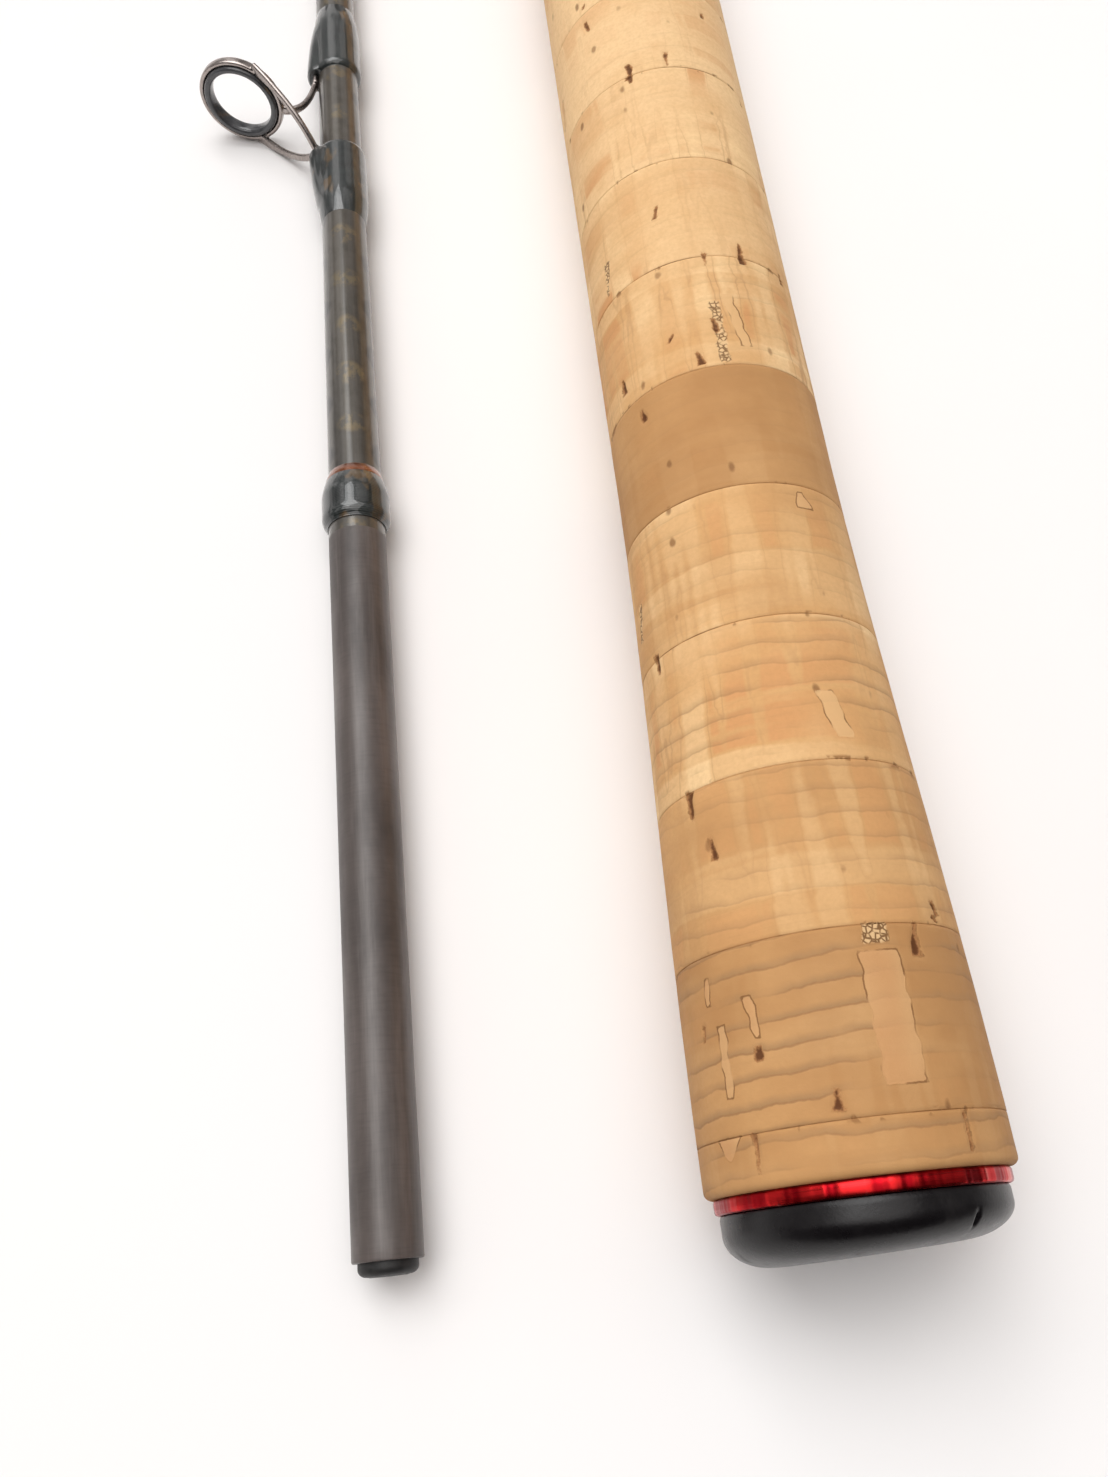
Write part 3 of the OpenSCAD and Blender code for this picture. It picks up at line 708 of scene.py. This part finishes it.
def random_marks(count, low, high):
    """More marks of the same kinds, scattered all round the grip."""
    marks = []
    for _ in range(count):
        kind = KINDS[int(RNG.choice(3, p=(0.80, 0.14, 0.06)))]
        angle, place = RNG.uniform(-180, 180), RNG.uniform(low, high)
        long = RNG.uniform(0.6, 3.0) if kind == "pit" else RNG.uniform(1.0, 4.0)
        wide = RNG.uniform(0.3, 0.6) if kind == "pit" else RNG.uniform(0.5, 1.2)
        marks.append((kind, angle, place, long, wide, RNG.normal(0, 0.3), RNG.uniform(-0.8, 0.8)))
    return marks


def mark_distance(angle, place, radius, mark):
    """Distance in mm to the edge of a mark, a four-sided patch with wavering sides. It is negative inside."""
    _, at_angle, at_place, long, wide, lean, taper = mark
    turn = (angle - math.radians(at_angle) + math.pi) % (2 * math.pi) - math.pi
    along = (place - GRIP_START) / MM - at_place
    share = np.clip(along / long, -0.5, 0.5)
    across = turn * radius / MM - lean * share + min(0.07, 0.12 * wide) * np.sin(along * 2.3 + at_angle)
    half = wide / 2 * (1 + 2 * taper * share) + 0.08 * min(wide, 0.7) * np.sin(along * 4.3 + at_place)
    beside, beyond = np.abs(across) - half, np.abs(along) - long / 2
    return np.hypot(np.maximum(beside, 0), np.maximum(beyond, 0)) + np.minimum(np.maximum(beside, beyond), 0)


def cork_ring(name, node, stations, radii, marks, number, fine):
    low, high = box(node)
    y0, y1 = low[1], high[1]
    edge = 0.06 * MM
    first = node == GRIP_RINGS[0]
    around, rows = (340, max(10, round((y1 - y0) / MM * 4))) if fine else (150, 22)
    bore = bore_of(node)
    line = [(bore, y0)]
    if first:
        turn_in = 0.55 * MM
        for k in range(5):
            a = math.pi / 2 * k / 5
            full = np.interp(y0 + turn_in, stations, radii)
            line.append((full - turn_in * (1 - math.sin(a)), y0 + turn_in * (1 - math.cos(a))))
        start = y0 + turn_in
    else:
        line.append((np.interp(y0, stations, radii) - edge, y0))
        start = y0 + edge
    for y in np.linspace(start, y1 - edge, rows):
        line.append((np.interp(y, stations, radii), y))
    line += [(np.interp(y1, stations, radii) - edge, y1), (bore, y1)]
    store = {}

    def shape(angle, place, radius):
        start, stop = (y0 - GRIP_START) / MM, (y1 - GRIP_START) / MM
        near = [m for m in marks if start - m[3] < m[2] < stop + m[3]]
        for kind in KINDS:
            gaps = [mark_distance(angle, place, radius, m) for m in near if m[0] == kind]
            store[kind] = np.minimum(np.min(gaps, axis=0), FAR_MM) if gaps else np.full_like(angle, FAR_MM)
        store["end"] = np.minimum(place - y0, y1 - place) / MM
        if first:
            store["end"] = (y1 - place) / MM
        sunk = 0.18 * np.clip(-store["pit"] / 0.22 + 0.35, 0, 1)
        sunk = sunk + 0.04 * np.clip(1 - np.abs(store["fill"]) / 0.2, 0, 1)
        sunk = sunk + 0.04 * np.clip(-store["spot"] / 0.2 + 0.3, 0, 1)
        wave = 0.018 * np.sin(3 * angle + number)
        wave = wave + 0.012 * np.sin(7 * angle + 2.1 * number + place / MM * 0.8)
        outer = radius > bore + MM
        return np.where(outer, radius - (sunk + 0.012 + wave * 0.5) * MM, radius)

    piece = turned(name, line, BUTT_AXIS, [CORK], around=around, ring=True, shape=shape, sharp=50)
    for kind in KINDS + ("end",):
        add_values(piece, kind, store[kind])
    add_values(piece, "ring", np.full(len(piece.data.vertices), float(number)))
    for value, amount in zip(("tone", "figure", "lines"), ring_look(number)):
        add_values(piece, value, np.full(len(piece.data.vertices), amount))
    stands_for(piece, node)


# What each ring's cork is like, in order from the butt: its tone (more is darker), then its figure and its
# lines (0 is none, and more is stronger). The tones pale from the butt towards the seat: partly the cork's
# own tone, partly painted light that grows brighter towards the seat.
RING_LOOKS = [
    (0.92, 0.10, 1.25),
    (0.94, 0.15, 1.50),
    (0.66, 0.45, 0.50),
    (0.48, 1.00, 0.70),
    (0.60, 0.60, 0.30),
    (0.86, 0.12, 0.15),
    (0.42, 1.70, 0.25),
    (0.30, 1.20, 0.14),
    (0.14, 1.00, 0.10),
    (0.02, 0.50, 0.08),
    (0.02, 0.50, 0.08),
]


def ring_look(number):
    """A ring's tone, figure and lines; the rings further up differ at random."""
    if number < len(RING_LOOKS):
        return RING_LOOKS[number]
    return float(RNG.uniform(0.1, 0.6)), float(RNG.uniform(0.1, 0.9)), float(RNG.uniform(0.1, 0.6))


def make_cork():
    rings = GRIP_RINGS + FORE_RINGS
    stations, radii = joined_outline(rings, BUTT_AXIS)
    far_end = (box(FORE_RINGS[-1])[1][1] - GRIP_START) / MM
    marks = main_marks() + random_marks(MARK_COUNT, 1, far_end)
    for number, node in enumerate(rings):
        fine = box(node)[0][1] < FINE_END
        line = outline(node, BUTT_AXIS) if node in FORE_RINGS else (stations, radii)
        cork_ring("cork_" + node, node, *line, marks, number, fine)


# ---------------------------------------------------------------- butt cap and trim


CAP_TILT = 0.036


def make_butt_cap():
    """The moulded cap: a dished end with a long soft edge. It sits a little askew on the blank."""
    low, high = box("butt_cap")
    radius, top = (high[0] - low[0]) / 2, high[1]
    bend_along, bend_in = 0.64 * (top - low[1]), 3.7 * MM
    mouth, floor = BUTT_LINE[1][0] + 0.05 * MM, low[1] + 1.5 * MM
    line = [((radius - bend_in) * t, low[1] + 0.12 * MM * (1 - t * t)) for t in np.linspace(0, 1, 8)[:-1]]
    for a in np.linspace(0, math.pi / 2, 22):
        line.append((radius - bend_in * (1 - math.sin(a)), low[1] + bend_along * (1 - math.cos(a))))
    line += [(radius, y) for y in np.linspace(low[1] + bend_along, top - 0.3 * MM, 5)[1:]]
    line += [(radius - 0.08 * MM, top - 0.07 * MM), (radius - 0.3 * MM, top)]
    line += [(mouth, top), (mouth, floor), (0, floor)]

    def shape(angle, place, r):
        nick = np.exp(-((angle - 0.56) / 0.014) ** 2 - ((place - 1.3 * MM) / (0.40 * MM)) ** 2)
        soft = 0.02 * np.sin(2 * angle + 0.6) + 0.012 * np.sin(5 * angle)
        return r - np.where(r > 0.7 * radius, (0.35 * nick + soft + 0.03) * MM, 0)

    def lean(x, place):
        return CAP_TILT * x * np.clip((top - place) / (top - low[1]), 0, 1)

    piece = turned("butt_cap_rubber", line, BUTT_AXIS, [RUBBER], around=448, shape=shape, lean=lean)
    stands_for(piece, "butt_cap")


def make_trim_ring(name, node, material):
    """A thin polished ring with chamfered edges."""
    low, high = box(node)
    radius, bore = (high[0] - low[0]) / 2, bore_of(node)
    chamfer = 0.24 * MM
    line = [(bore, low[1]), (radius - chamfer, low[1]), (radius - chamfer * 0.3, low[1] + chamfer * 0.35)]
    line += [(radius, low[1] + chamfer), (radius, high[1] - chamfer)]
    line += [(radius - chamfer * 0.3, high[1] - chamfer * 0.35), (radius - chamfer, high[1]), (bore, high[1])]
    piece = turned(name, line, BUTT_AXIS, [material], around=256, ring=True, sharp=25)
    stands_for(piece, node)


def make_winding_check():
    stations, radii = outline("winding_check", BUTT_AXIS)
    bore = bore_of("winding_check")
    line = [(bore, stations[0])] + smooth_rows(stations, radii, 24) + [(bore, stations[-1])]
    piece = turned("winding_check_ring", line, BUTT_AXIS, [RED], around=192, ring=True, sharp=30)
    stands_for(piece, "winding_check")


# ---------------------------------------------------------------- blanks


def make_butt_blank():
    (y0, y1), (r0, r1) = (BUTT_LINE[0][0], BUTT_LINE[0][-1]), (BUTT_LINE[1][0], BUTT_LINE[1][-1])
    socket = MOUNTS["ferrule_socket"]["dims"]
    bore, deep = socket["r_mm"] * MM, socket["length_mm"] * MM
    line = [(r0 - 0.8 * MM, y0)] + smooth_rows((y0, y1), (r0, r1 - 0.05 * MM), 60)
    line += [(r1 - 0.3 * MM, y1), (bore + 0.05 * MM, y1), (bore, y1 - 0.1 * MM), (bore, y1 - deep)]
    piece = turned("butt_blank_tube", line, BUTT_AXIS, [BUTT_VARNISH], ring=True)
    stands_for(piece, "butt_blank")


def make_tip_blank():
    """The tip section's tube: its bare ground end, then the varnished part."""
    y0, y1 = TIP_LINE[0][0], TIP_LINE[0][-1]
    ferrule = box("ferrule_wrap")[0][1]
    bore = (box("ferrule_plug")[1][0] - box("ferrule_plug")[0][0]) / 2 + 0.02 * MM
    r0 = float(np.interp(ferrule - MM, *TIP_LINE))
    line = [(bore, y0 + 10 * MM), (bore, y0), (bore + 0.04 * MM, y0), (r0 - 0.12 * MM, y0)]
    line += [(r0 - 0.03 * MM, y0 + 0.05 * MM), (r0, y0 + 0.15 * MM)]
    line += [(r0, y) for y in np.linspace(y0 + MM, ferrule + 0.5 * MM, 40)]
    bare_rows = len(line) - 1
    line += [(float(np.interp(y, *TIP_LINE)), y) for y in np.linspace(ferrule + MM, y1, 160)]
    line += [(0, y1)]
    line = [(0, y0 + 10 * MM)] + line

    def shape(angle, place, r):
        wear_and_painted_highlight = 0.010 * np.sin(place / MM * 0.21 + 2 * angle) + 0.008 * np.sin(place / MM * 0.07 + angle)
        return np.where(r > bore + 0.1 * MM, r - (0.010 + 0.5 * wear_and_painted_highlight) * MM, r)

    piece = turned("tip_blank_tube", line, TIP_AXIS, [GROUND, VARNISH], shape=shape,
                   paint=lambda row: 0 if row < bare_rows else 1)
    stands_for(piece, "tip_blank")


def make_plug():
    low, high = box("ferrule_plug")
    radius = (high[0] - low[0]) / 2
    head = box("tip_blank")[0][1] - low[1]
    line = [(0, low[1])]
    line += [(radius * t, low[1] + 0.05 * MM * t) for t in (0.3, 0.6)]
    for k in range(9):
        a = math.pi / 2 * k / 8
        y = low[1] + 0.08 * MM + 0.6 * MM * (1 - math.cos(a))
        line.append((radius - 0.7 * MM * (1 - math.sin(a)), y))
    line += [(radius, low[1] + head), (radius, high[1]), (0, high[1])]
    piece = turned("male_end_plug", line, TIP_AXIS, [PLUG])
    stands_for(piece, "ferrule_plug")


# ---------------------------------------------------------------- whippings


def bulged(y0, y1, under, rise, ends, rows=40):
    """A whipping's outline: it climbs from the blank, bulges and falls back."""
    line = []
    for t in np.linspace(0, 1, rows):
        y = y0 + (y1 - y0) * t
        near = min(t / ends[0] if ends[0] else 1, (1 - t) / ends[1] if ends[1] else 1, 1)
        line.append((under(y) + rise * (1 - (1 - near) ** 2.2), y))
    return line


def sleeve(name, node, axis, under, rise, ends, material):
    low, high = box(node)
    y0, y1 = low[1], high[1]
    inside = [(under(y) - 0.02 * MM, y) for y in (y1, y0)]
    line = bulged(y0, y1, under, rise, ends) + inside
    stands_for(turned(name, line, axis, [material], around=128, ring=True), node)


def tip_under(y):
    return float(np.interp(y, *TIP_LINE))


def butt_under(y):
    return float(np.interp(y, *BUTT_LINE))


def make_ferrule_whipping():
    low, high = box("ferrule_wrap")
    radius = (high[0] - low[0]) / 2
    band_low, band_high = box("ferrule_band")
    y0, y1 = low[1], high[1]
    line = [(tip_under(y0) - 0.02 * MM, y0), (tip_under(y0) + 0.10 * MM, y0)]
    for t in np.linspace(0.03, 1, 30):
        climb = 1 - (1 - min(t / 0.26, 1)) ** 2.4
        fall = 0.42 * MM * max(0, (t - 0.62) / 0.38) ** 1.6
        y = y0 + (y1 - y0) * t
        line.append((tip_under(y0) + (radius - tip_under(y0)) * climb - fall, y))
    line += [(tip_under(y1) - 0.02 * MM, y1)]
    piece = turned("ferrule_whipping", line, TIP_AXIS, [WHIPPING], around=160, ring=True)
    stands_for(piece, "ferrule_wrap")

    top = radius - 0.42 * MM
    y0, y1 = band_low[1], band_high[1]
    line = [(tip_under(y0) - 0.02 * MM, y0), (top, y0)]
    for t in np.linspace(0.1, 1, 12):
        y = y0 + (y1 - y0) * t
        line.append((top + (tip_under(y) + 0.05 * MM - top) * t ** 1.4, y))
    line += [(tip_under(y1) - 0.02 * MM, y1)]
    piece = turned("ferrule_trim_band", line, TIP_AXIS, [TRIM], around=160, ring=True)
    stands_for(piece, "ferrule_band")


def make_socket_whipping():
    sleeve("socket_whipping", "socket_wrap", BUTT_AXIS, butt_under, 0.6 * MM, (0.1, 0.04), WHIPPING)
    sleeve("socket_trim_band", "socket_band", BUTT_AXIS, butt_under, 0.16 * MM, (0.4, 0), TRIM)


# ---------------------------------------------------------------- guides


class GuidePlan:
    """Where one guide's pieces go, from its line hole's mount and the CAD boxes around it."""

    def __init__(self, number, mount):
        self.on_butt = number in BUTT_GUIDES
        self.axis = BUTT_AXIS if self.on_butt else TIP_AXIS
        self.under = butt_under if self.on_butt else tip_under
        hole = MOUNTS[mount]
        self.centre = np.array(hole["pos_m"])
        self.way = -np.array(hole["axis"])
        foot = np.array([self.axis[0], self.centre[1], self.axis[1]])
        self.height = np.linalg.norm(self.centre - foot)
        self.up = (self.centre - foot) / self.height
        self.along = np.array([0.0, 1.0, 0.0])
        self.side = np.cross(self.along, self.up)
        self.out = np.cross(self.side, self.way)
        self.hole = hole["dims"]["r_mm"] * MM
        self.radius = self.hole / 0.71
        self.scale = self.radius / (5 * MM)
        self.gauge = 0.9 * math.sqrt(self.scale) * MM

    def at(self, side, along, up):
        """A point in the world from the guide's own frame, whose origin is on the blank below the ring."""
        origin = np.array([self.axis[0], self.centre[1], self.axis[1]])
        return origin + self.side * side + self.along * along + self.up * up


def bend(a, b, c, count):
    t = np.linspace(0, 1, count)[:, None]
    return a * (1 - t) ** 2 + 2 * b * t * (1 - t) + c * t ** 2


def foot_top(plan, along):
    return plan.under(plan.centre[1] + along) + 0.8 * plan.gauge


def make_guide(number):
    plan = GuidePlan(number, f"guide_{number}_line_hole")
    g, r, k = plan.gauge, plan.radius, plan.scale
    back, front = -8.9 * k * MM, 3.8 * k * MM
    foot_len = (3.5 + 3.5 * k) * MM
    wrap_len = foot_len + 4 * MM
    shells = []

    # the ring's holder: a thin rolled hoop
    wall = 0.55 * g / 0.9
    half = 0.62 * g
    section = []
    for a in around_circle(16):
        c, s = squared(a, 0.6, 0.6)
        section.append((r - 0.52 * wall + 0.50 * wall * c, half * s))
    shells.append(hoop(plan.centre, plan.out, plan.side, plan.way, section, 128))

    # two arms from the back foot to the ring's sides
    drop = 0.35 * r
    lean_out = plan.out * -drop
    for turn in (-1, 1):
        start = plan.at(turn * 0.15 * g, back + 0.5 * g, foot_top(plan, back) - 0.42 * g)
        reach = math.sqrt(r * r - drop * drop) - 0.15 * g
        end = plan.centre + lean_out + plan.side * (turn * reach)
        knee = start * 0.66 + end * 0.34 + plan.side * (turn * reach * 0.55)
        path = bend(start, knee, end, 22)
        rise = np.cross(end - start, plan.side)
        rise = rise / np.linalg.norm(rise)
        sizes = [(0.46 * g + 0.30 * g * max(0, t - 0.7) / 0.3, 0.36 * g) for t in np.linspace(0, 1, 22)]
        shells.append(swept(path, sizes, rise))

    # one arm that dips from the ring's base and turns to the front foot
    base = plan.centre - plan.out * (r - 0.25 * g)
    start = plan.at(0, front - 0.4 * g, foot_top(plan, front) - 0.42 * g)
    low = plan.at(0, 0, 0)
    base_up = float(np.dot(base - low, plan.up))
    base_along = float(np.dot(base - low, plan.along))
    knee = plan.at(0, base_along - 0.9 * g, base_up + 0.8 * (foot_top(plan, front) - base_up))
    path = bend(base, knee, start, 22)
    sizes = [(0.62 * g - 0.10 * g * math.sin(math.pi * t), 0.34 * g) for t in np.linspace(0, 1, 22)]
    shells.append(swept(path, sizes, np.cross(plan.side, start - base) / np.linalg.norm(start - base)))

    # the two feet, flat on the blank
    for exit_at, way in ((back, -1), (front, 1)):
        places = [exit_at - way * 1.1 * g, exit_at, exit_at + way * 0.5 * foot_len, exit_at + way * foot_len]
        heights = [foot_top(plan, exit_at) - d * g for d in (0.42, 0.42, 0.5, 0.75)]
        path = [plan.at(0, a, h) for a, h in zip(places, heights)]
        sizes = [(0.85 * g, 0.36 * g), (0.9 * g, 0.36 * g), (0.8 * g, 0.3 * g), (0.5 * g, 0.12 * g)]
        shells.append(swept(path, sizes, plan.up))

    cell = max(0.085 * MM, 0.1 * g) if number == SEEN_GUIDE else 0.15 * g
    piece = welded(f"guide_{number}_steel_frame", shells, cell, [STEEL], 3)
    stands_for(piece, f"guide_{number}_frame")

    # the ceramic ring: rounded inside, a little prouder than its holder
    outer, inner = r - wall - 0.01 * MM, plan.hole
    deep = 0.95 * g
    section = []
    for a in around_circle(28):
        c, s = squared(a, 0.8, 0.75)
        section.append(((outer + inner) / 2 + (outer - inner) / 2 * c, deep * s))
    points, faces = hoop(plan.centre, plan.out, plan.side, plan.way, section, 128)
    piece = mesh_object(f"guide_{number}_ceramic_ring", points, faces, [CERAMIC])
    stands_for(piece, f"guide_{number}_insert")

    make_guide_whippings(number, plan, ((back, -1), (front, 1)), foot_len, wrap_len)


def make_guide_whippings(number, plan, ends, foot_len, wrap_len):
    """Both whippings of a guide in one piece, each humped over its foot."""
    g = plan.gauge
    rise = (0.36 + 0.08 * plan.scale) * MM
    up_angle = math.atan2(plan.up[0], plan.up[2])
    shells = []
    for exit_at, way in ends:
        y_exit = plan.centre[1] + exit_at
        y_far = y_exit + way * wrap_len

        def shape(angle, place, radius):
            turn = (angle - up_angle + math.pi) % (2 * math.pi) - math.pi
            across = turn * radius
            t = np.clip((place - y_exit) * way / (foot_len * 1.25), 0, 1)
            hump = (0.95 * g) * (1 - t ** 1.7) * np.exp(-(across / (1.35 * g)) ** 4 * 0.5)
            own = np.array([plan.under(y) for y in place[:, 0]])[:, None]
            lumpy = 0.012 * np.sin(3 * angle + number) + 0.010 * np.sin(place / MM * 1.7 + number)
            return np.where(radius > own, radius + hump + lumpy * MM * 0.6, radius)

        low, high = min(y_exit, y_far), max(y_exit, y_far)
        short, long = 0.07, 0.42
        shares = (short, long) if way > 0 else (long, short)
        inside = [(plan.under(y) - 0.02 * MM, y) for y in (high, low)]
        line = bulged(low, high, plan.under, rise, shares, 56) + inside
        shells.append(turned_shell(line, plan.axis, around=128, ring=True, shape=shape))
    piece = mesh_object(f"guide_{number}_whippings", *joined(shells), [WHIPPING])
    stands_for(piece, f"guide_{number}_wraps")


def make_tip_top():
    hole = MOUNTS["tip_top_line_hole"]
    plan = GuidePlan(GUIDES[-1], "tip_top_line_hole")
    r, g = plan.radius, 0.55 * MM
    tube_low = box("tip_top_frame")[0][1]
    tip = box("tip_blank")[1][1]
    wall = 0.44 * MM
    section = [(r - 0.5 * wall + 0.5 * wall * math.cos(a), 0.5 * MM * math.sin(a)) for a in around_circle(12)]
    shells = [hoop(plan.centre, plan.out, plan.side, plan.way, section)]
    tube_r = tip_under(tip) + 0.5 * MM
    along0, along1 = tube_low - plan.centre[1], tip + 0.6 * MM - plan.centre[1]
    path = [plan.at(0, a, 0) for a in np.linspace(along0, along1, 8)]
    shells.append(swept(path, [(tube_r, tube_r)] * 8, plan.up, 24))
    for turn in (-1, 1):
        start = plan.at(0, along0 + 1.5 * MM, tube_r - 0.15 * MM)
        end = plan.centre - plan.out * (0.45 * r) + plan.side * (turn * 0.85 * r)
        knee = start * 0.55 + end * 0.45 + plan.side * (turn * 0.25 * r)
        shells.append(swept(bend(start, knee, end, 14), [(0.6 * g, 0.5 * g)] * 14, plan.up))
    piece = welded("tip_top_steel", shells, 0.11 * MM, [STEEL], 2)
    stands_for(piece, "tip_top_frame")

    outer, inner = r - wall - 0.01 * MM, hole["dims"]["r_mm"] * MM
    section = [((outer + inner) / 2 + (outer - inner) / 2 * math.cos(a), 0.65 * MM * math.sin(a))
               for a in around_circle(20)]
    points, faces = hoop(plan.centre, plan.out, plan.side, plan.way, section, 80)
    stands_for(mesh_object("tip_top_ceramic_ring", points, faces, [CERAMIC]), "tip_top_insert")
    sleeve("tip_top_whipping", "tip_top_wrap", TIP_AXIS, tip_under, 0.4 * MM, (0.3, 0.1), WHIPPING)


# ---------------------------------------------------------------- floor, light and camera


def make_floor():
    half = 4.0
    z = FLOOR_Z - 0.0002
    corners = [(-half, -half, z), (half, -half, z), (half, half, z), (-half, half, z)]
    floor = mesh_object("floor", corners, [[0, 1, 2, 3]], [])
    p = Paint("floor", specular_ior_level=0.1)
    soft = p.noise(9, 3, 0.5)
    colour = p.ramp(soft, (0.3, (0.90, 0.885, 0.875)), (0.7, (0.93, 0.92, 0.915)))
    p.finish(colour, p.between(soft, 0.3, 0.7, 0.8, 0.9))
    floor.data.materials.append(p.material)


LAMP_TARGET = (0, 0.1, 0)


def area_light(name, place, size, power, colour):
    lamp = bpy.data.lights.new(name, "AREA")
    lamp.shape = "SQUARE"
    lamp.size = size
    lamp.energy = power
    lamp.color = colour
    piece = bpy.data.objects.new(name, lamp)
    piece.location = place
    piece.rotation_euler = (Vector(LAMP_TARGET) - Vector(place)).to_track_quat("-Z", "Y").to_euler()
    bpy.context.scene.collection.objects.link(piece)


def make_room():
    """A pale room with patches of light and shade to reflect: darker on the right and behind the butt."""
    world = bpy.data.worlds.new("studio")
    world.use_nodes = True
    n = Nodes(world.node_tree, "Generated")
    patches = n.noise((4, 4, 4), 1.0, 0.5)
    tone = n.ramp(patches, (0.42, (0.07, 0.066, 0.066)), (0.60, (0.98, 0.94, 0.925)))
    x, y, _ = n.split(n.place)
    strength = n.times(n.between(y, -0.8, 0.1, 0.12, 1.0), n.between(x, -0.3, 0.9, 1.0, 0.5))

    # matte surfaces take a little more of the room's light than shiny ones mirror
    rays = n.node("ShaderNodeLightPath").outputs
    room = n.tree.nodes["Background"]
    n.put(room.inputs["Color"], tone)
    n.put(room.inputs["Strength"], n.times(strength, n.between(rays["Is Diffuse Ray"], 0.0, 1.0, 1.0, 1.4)))

    # seen directly, the room is one plain pale wall
    wall = n.node("ShaderNodeBackground")
    wall.inputs["Color"].default_value = (0.86, 0.85, 0.845, 1)
    both = n.node("ShaderNodeMixShader")
    for socket, item in zip(both.inputs, (rays["Is Camera Ray"], room.outputs[0], wall.outputs[0])):
        n.put(socket, item)
    n.put(n.tree.nodes["World Output"].inputs["Surface"], both.outputs[0])
    bpy.context.scene.world = world


def make_light():
    """One large lamp high on the left, and a soft one above."""
    area_light("window", (-0.40, 0.70, 1.55), 1.2, 12.8, (0.98, 0.995, 1.0))
    area_light("ceiling", (-0.1, 0.15, 1.5), 1.7, 13.6, (1.0, 0.965, 0.95))


CAMERA_PLACE_MM = (-21.85, 1.02, 92.38)
CAMERA_YAW, CAMERA_PITCH, CAMERA_ROLL = (math.radians(a) for a in (4.98, 66.015, 0.966))
CAMERA_LENS = 29.23


def make_camera():
    level = math.cos(CAMERA_PITCH)
    ahead = Vector((math.sin(CAMERA_YAW) * level, math.cos(CAMERA_YAW) * level, -math.sin(CAMERA_PITCH)))
    right = Vector((math.cos(CAMERA_YAW), -math.sin(CAMERA_YAW), 0))
    down = ahead.cross(right)
    right_rolled = right * math.cos(CAMERA_ROLL) + down * math.sin(CAMERA_ROLL)
    down_rolled = down * math.cos(CAMERA_ROLL) - right * math.sin(CAMERA_ROLL)
    camera = bpy.data.cameras.new("camera")
    camera.sensor_width = 36
    camera.lens = CAMERA_LENS
    camera.clip_start = 0.005
    piece = bpy.data.objects.new("camera", camera)
    turn = Matrix((right_rolled, -down_rolled, -ahead)).transposed().to_4x4()
    piece.matrix_world = Matrix.Translation(Vector(CAMERA_PLACE_MM) * MM) @ turn
    bpy.context.scene.collection.objects.link(piece)
    bpy.context.scene.camera = piece


# ---------------------------------------------------------------- everything

make_camera()
make_floor()
make_room()
make_light()
bpy.context.scene.view_settings.view_transform = "Standard"

make_cork()
make_butt_cap()
make_trim_ring("butt_trim_ring_red", "butt_trim_ring", RED)
make_winding_check()
make_butt_blank()
make_tip_blank()
make_plug()
make_ferrule_whipping()
make_socket_whipping()
for guide in GUIDES:
    make_guide(guide)
make_tip_top()
repaint("reel_seat_barrel", SEAT)
repaint("seat_arbors", ARBOR)
for part in ("fixed_hood", "sliding_hood", "lock_nut"):
    repaint(part, HOOD)
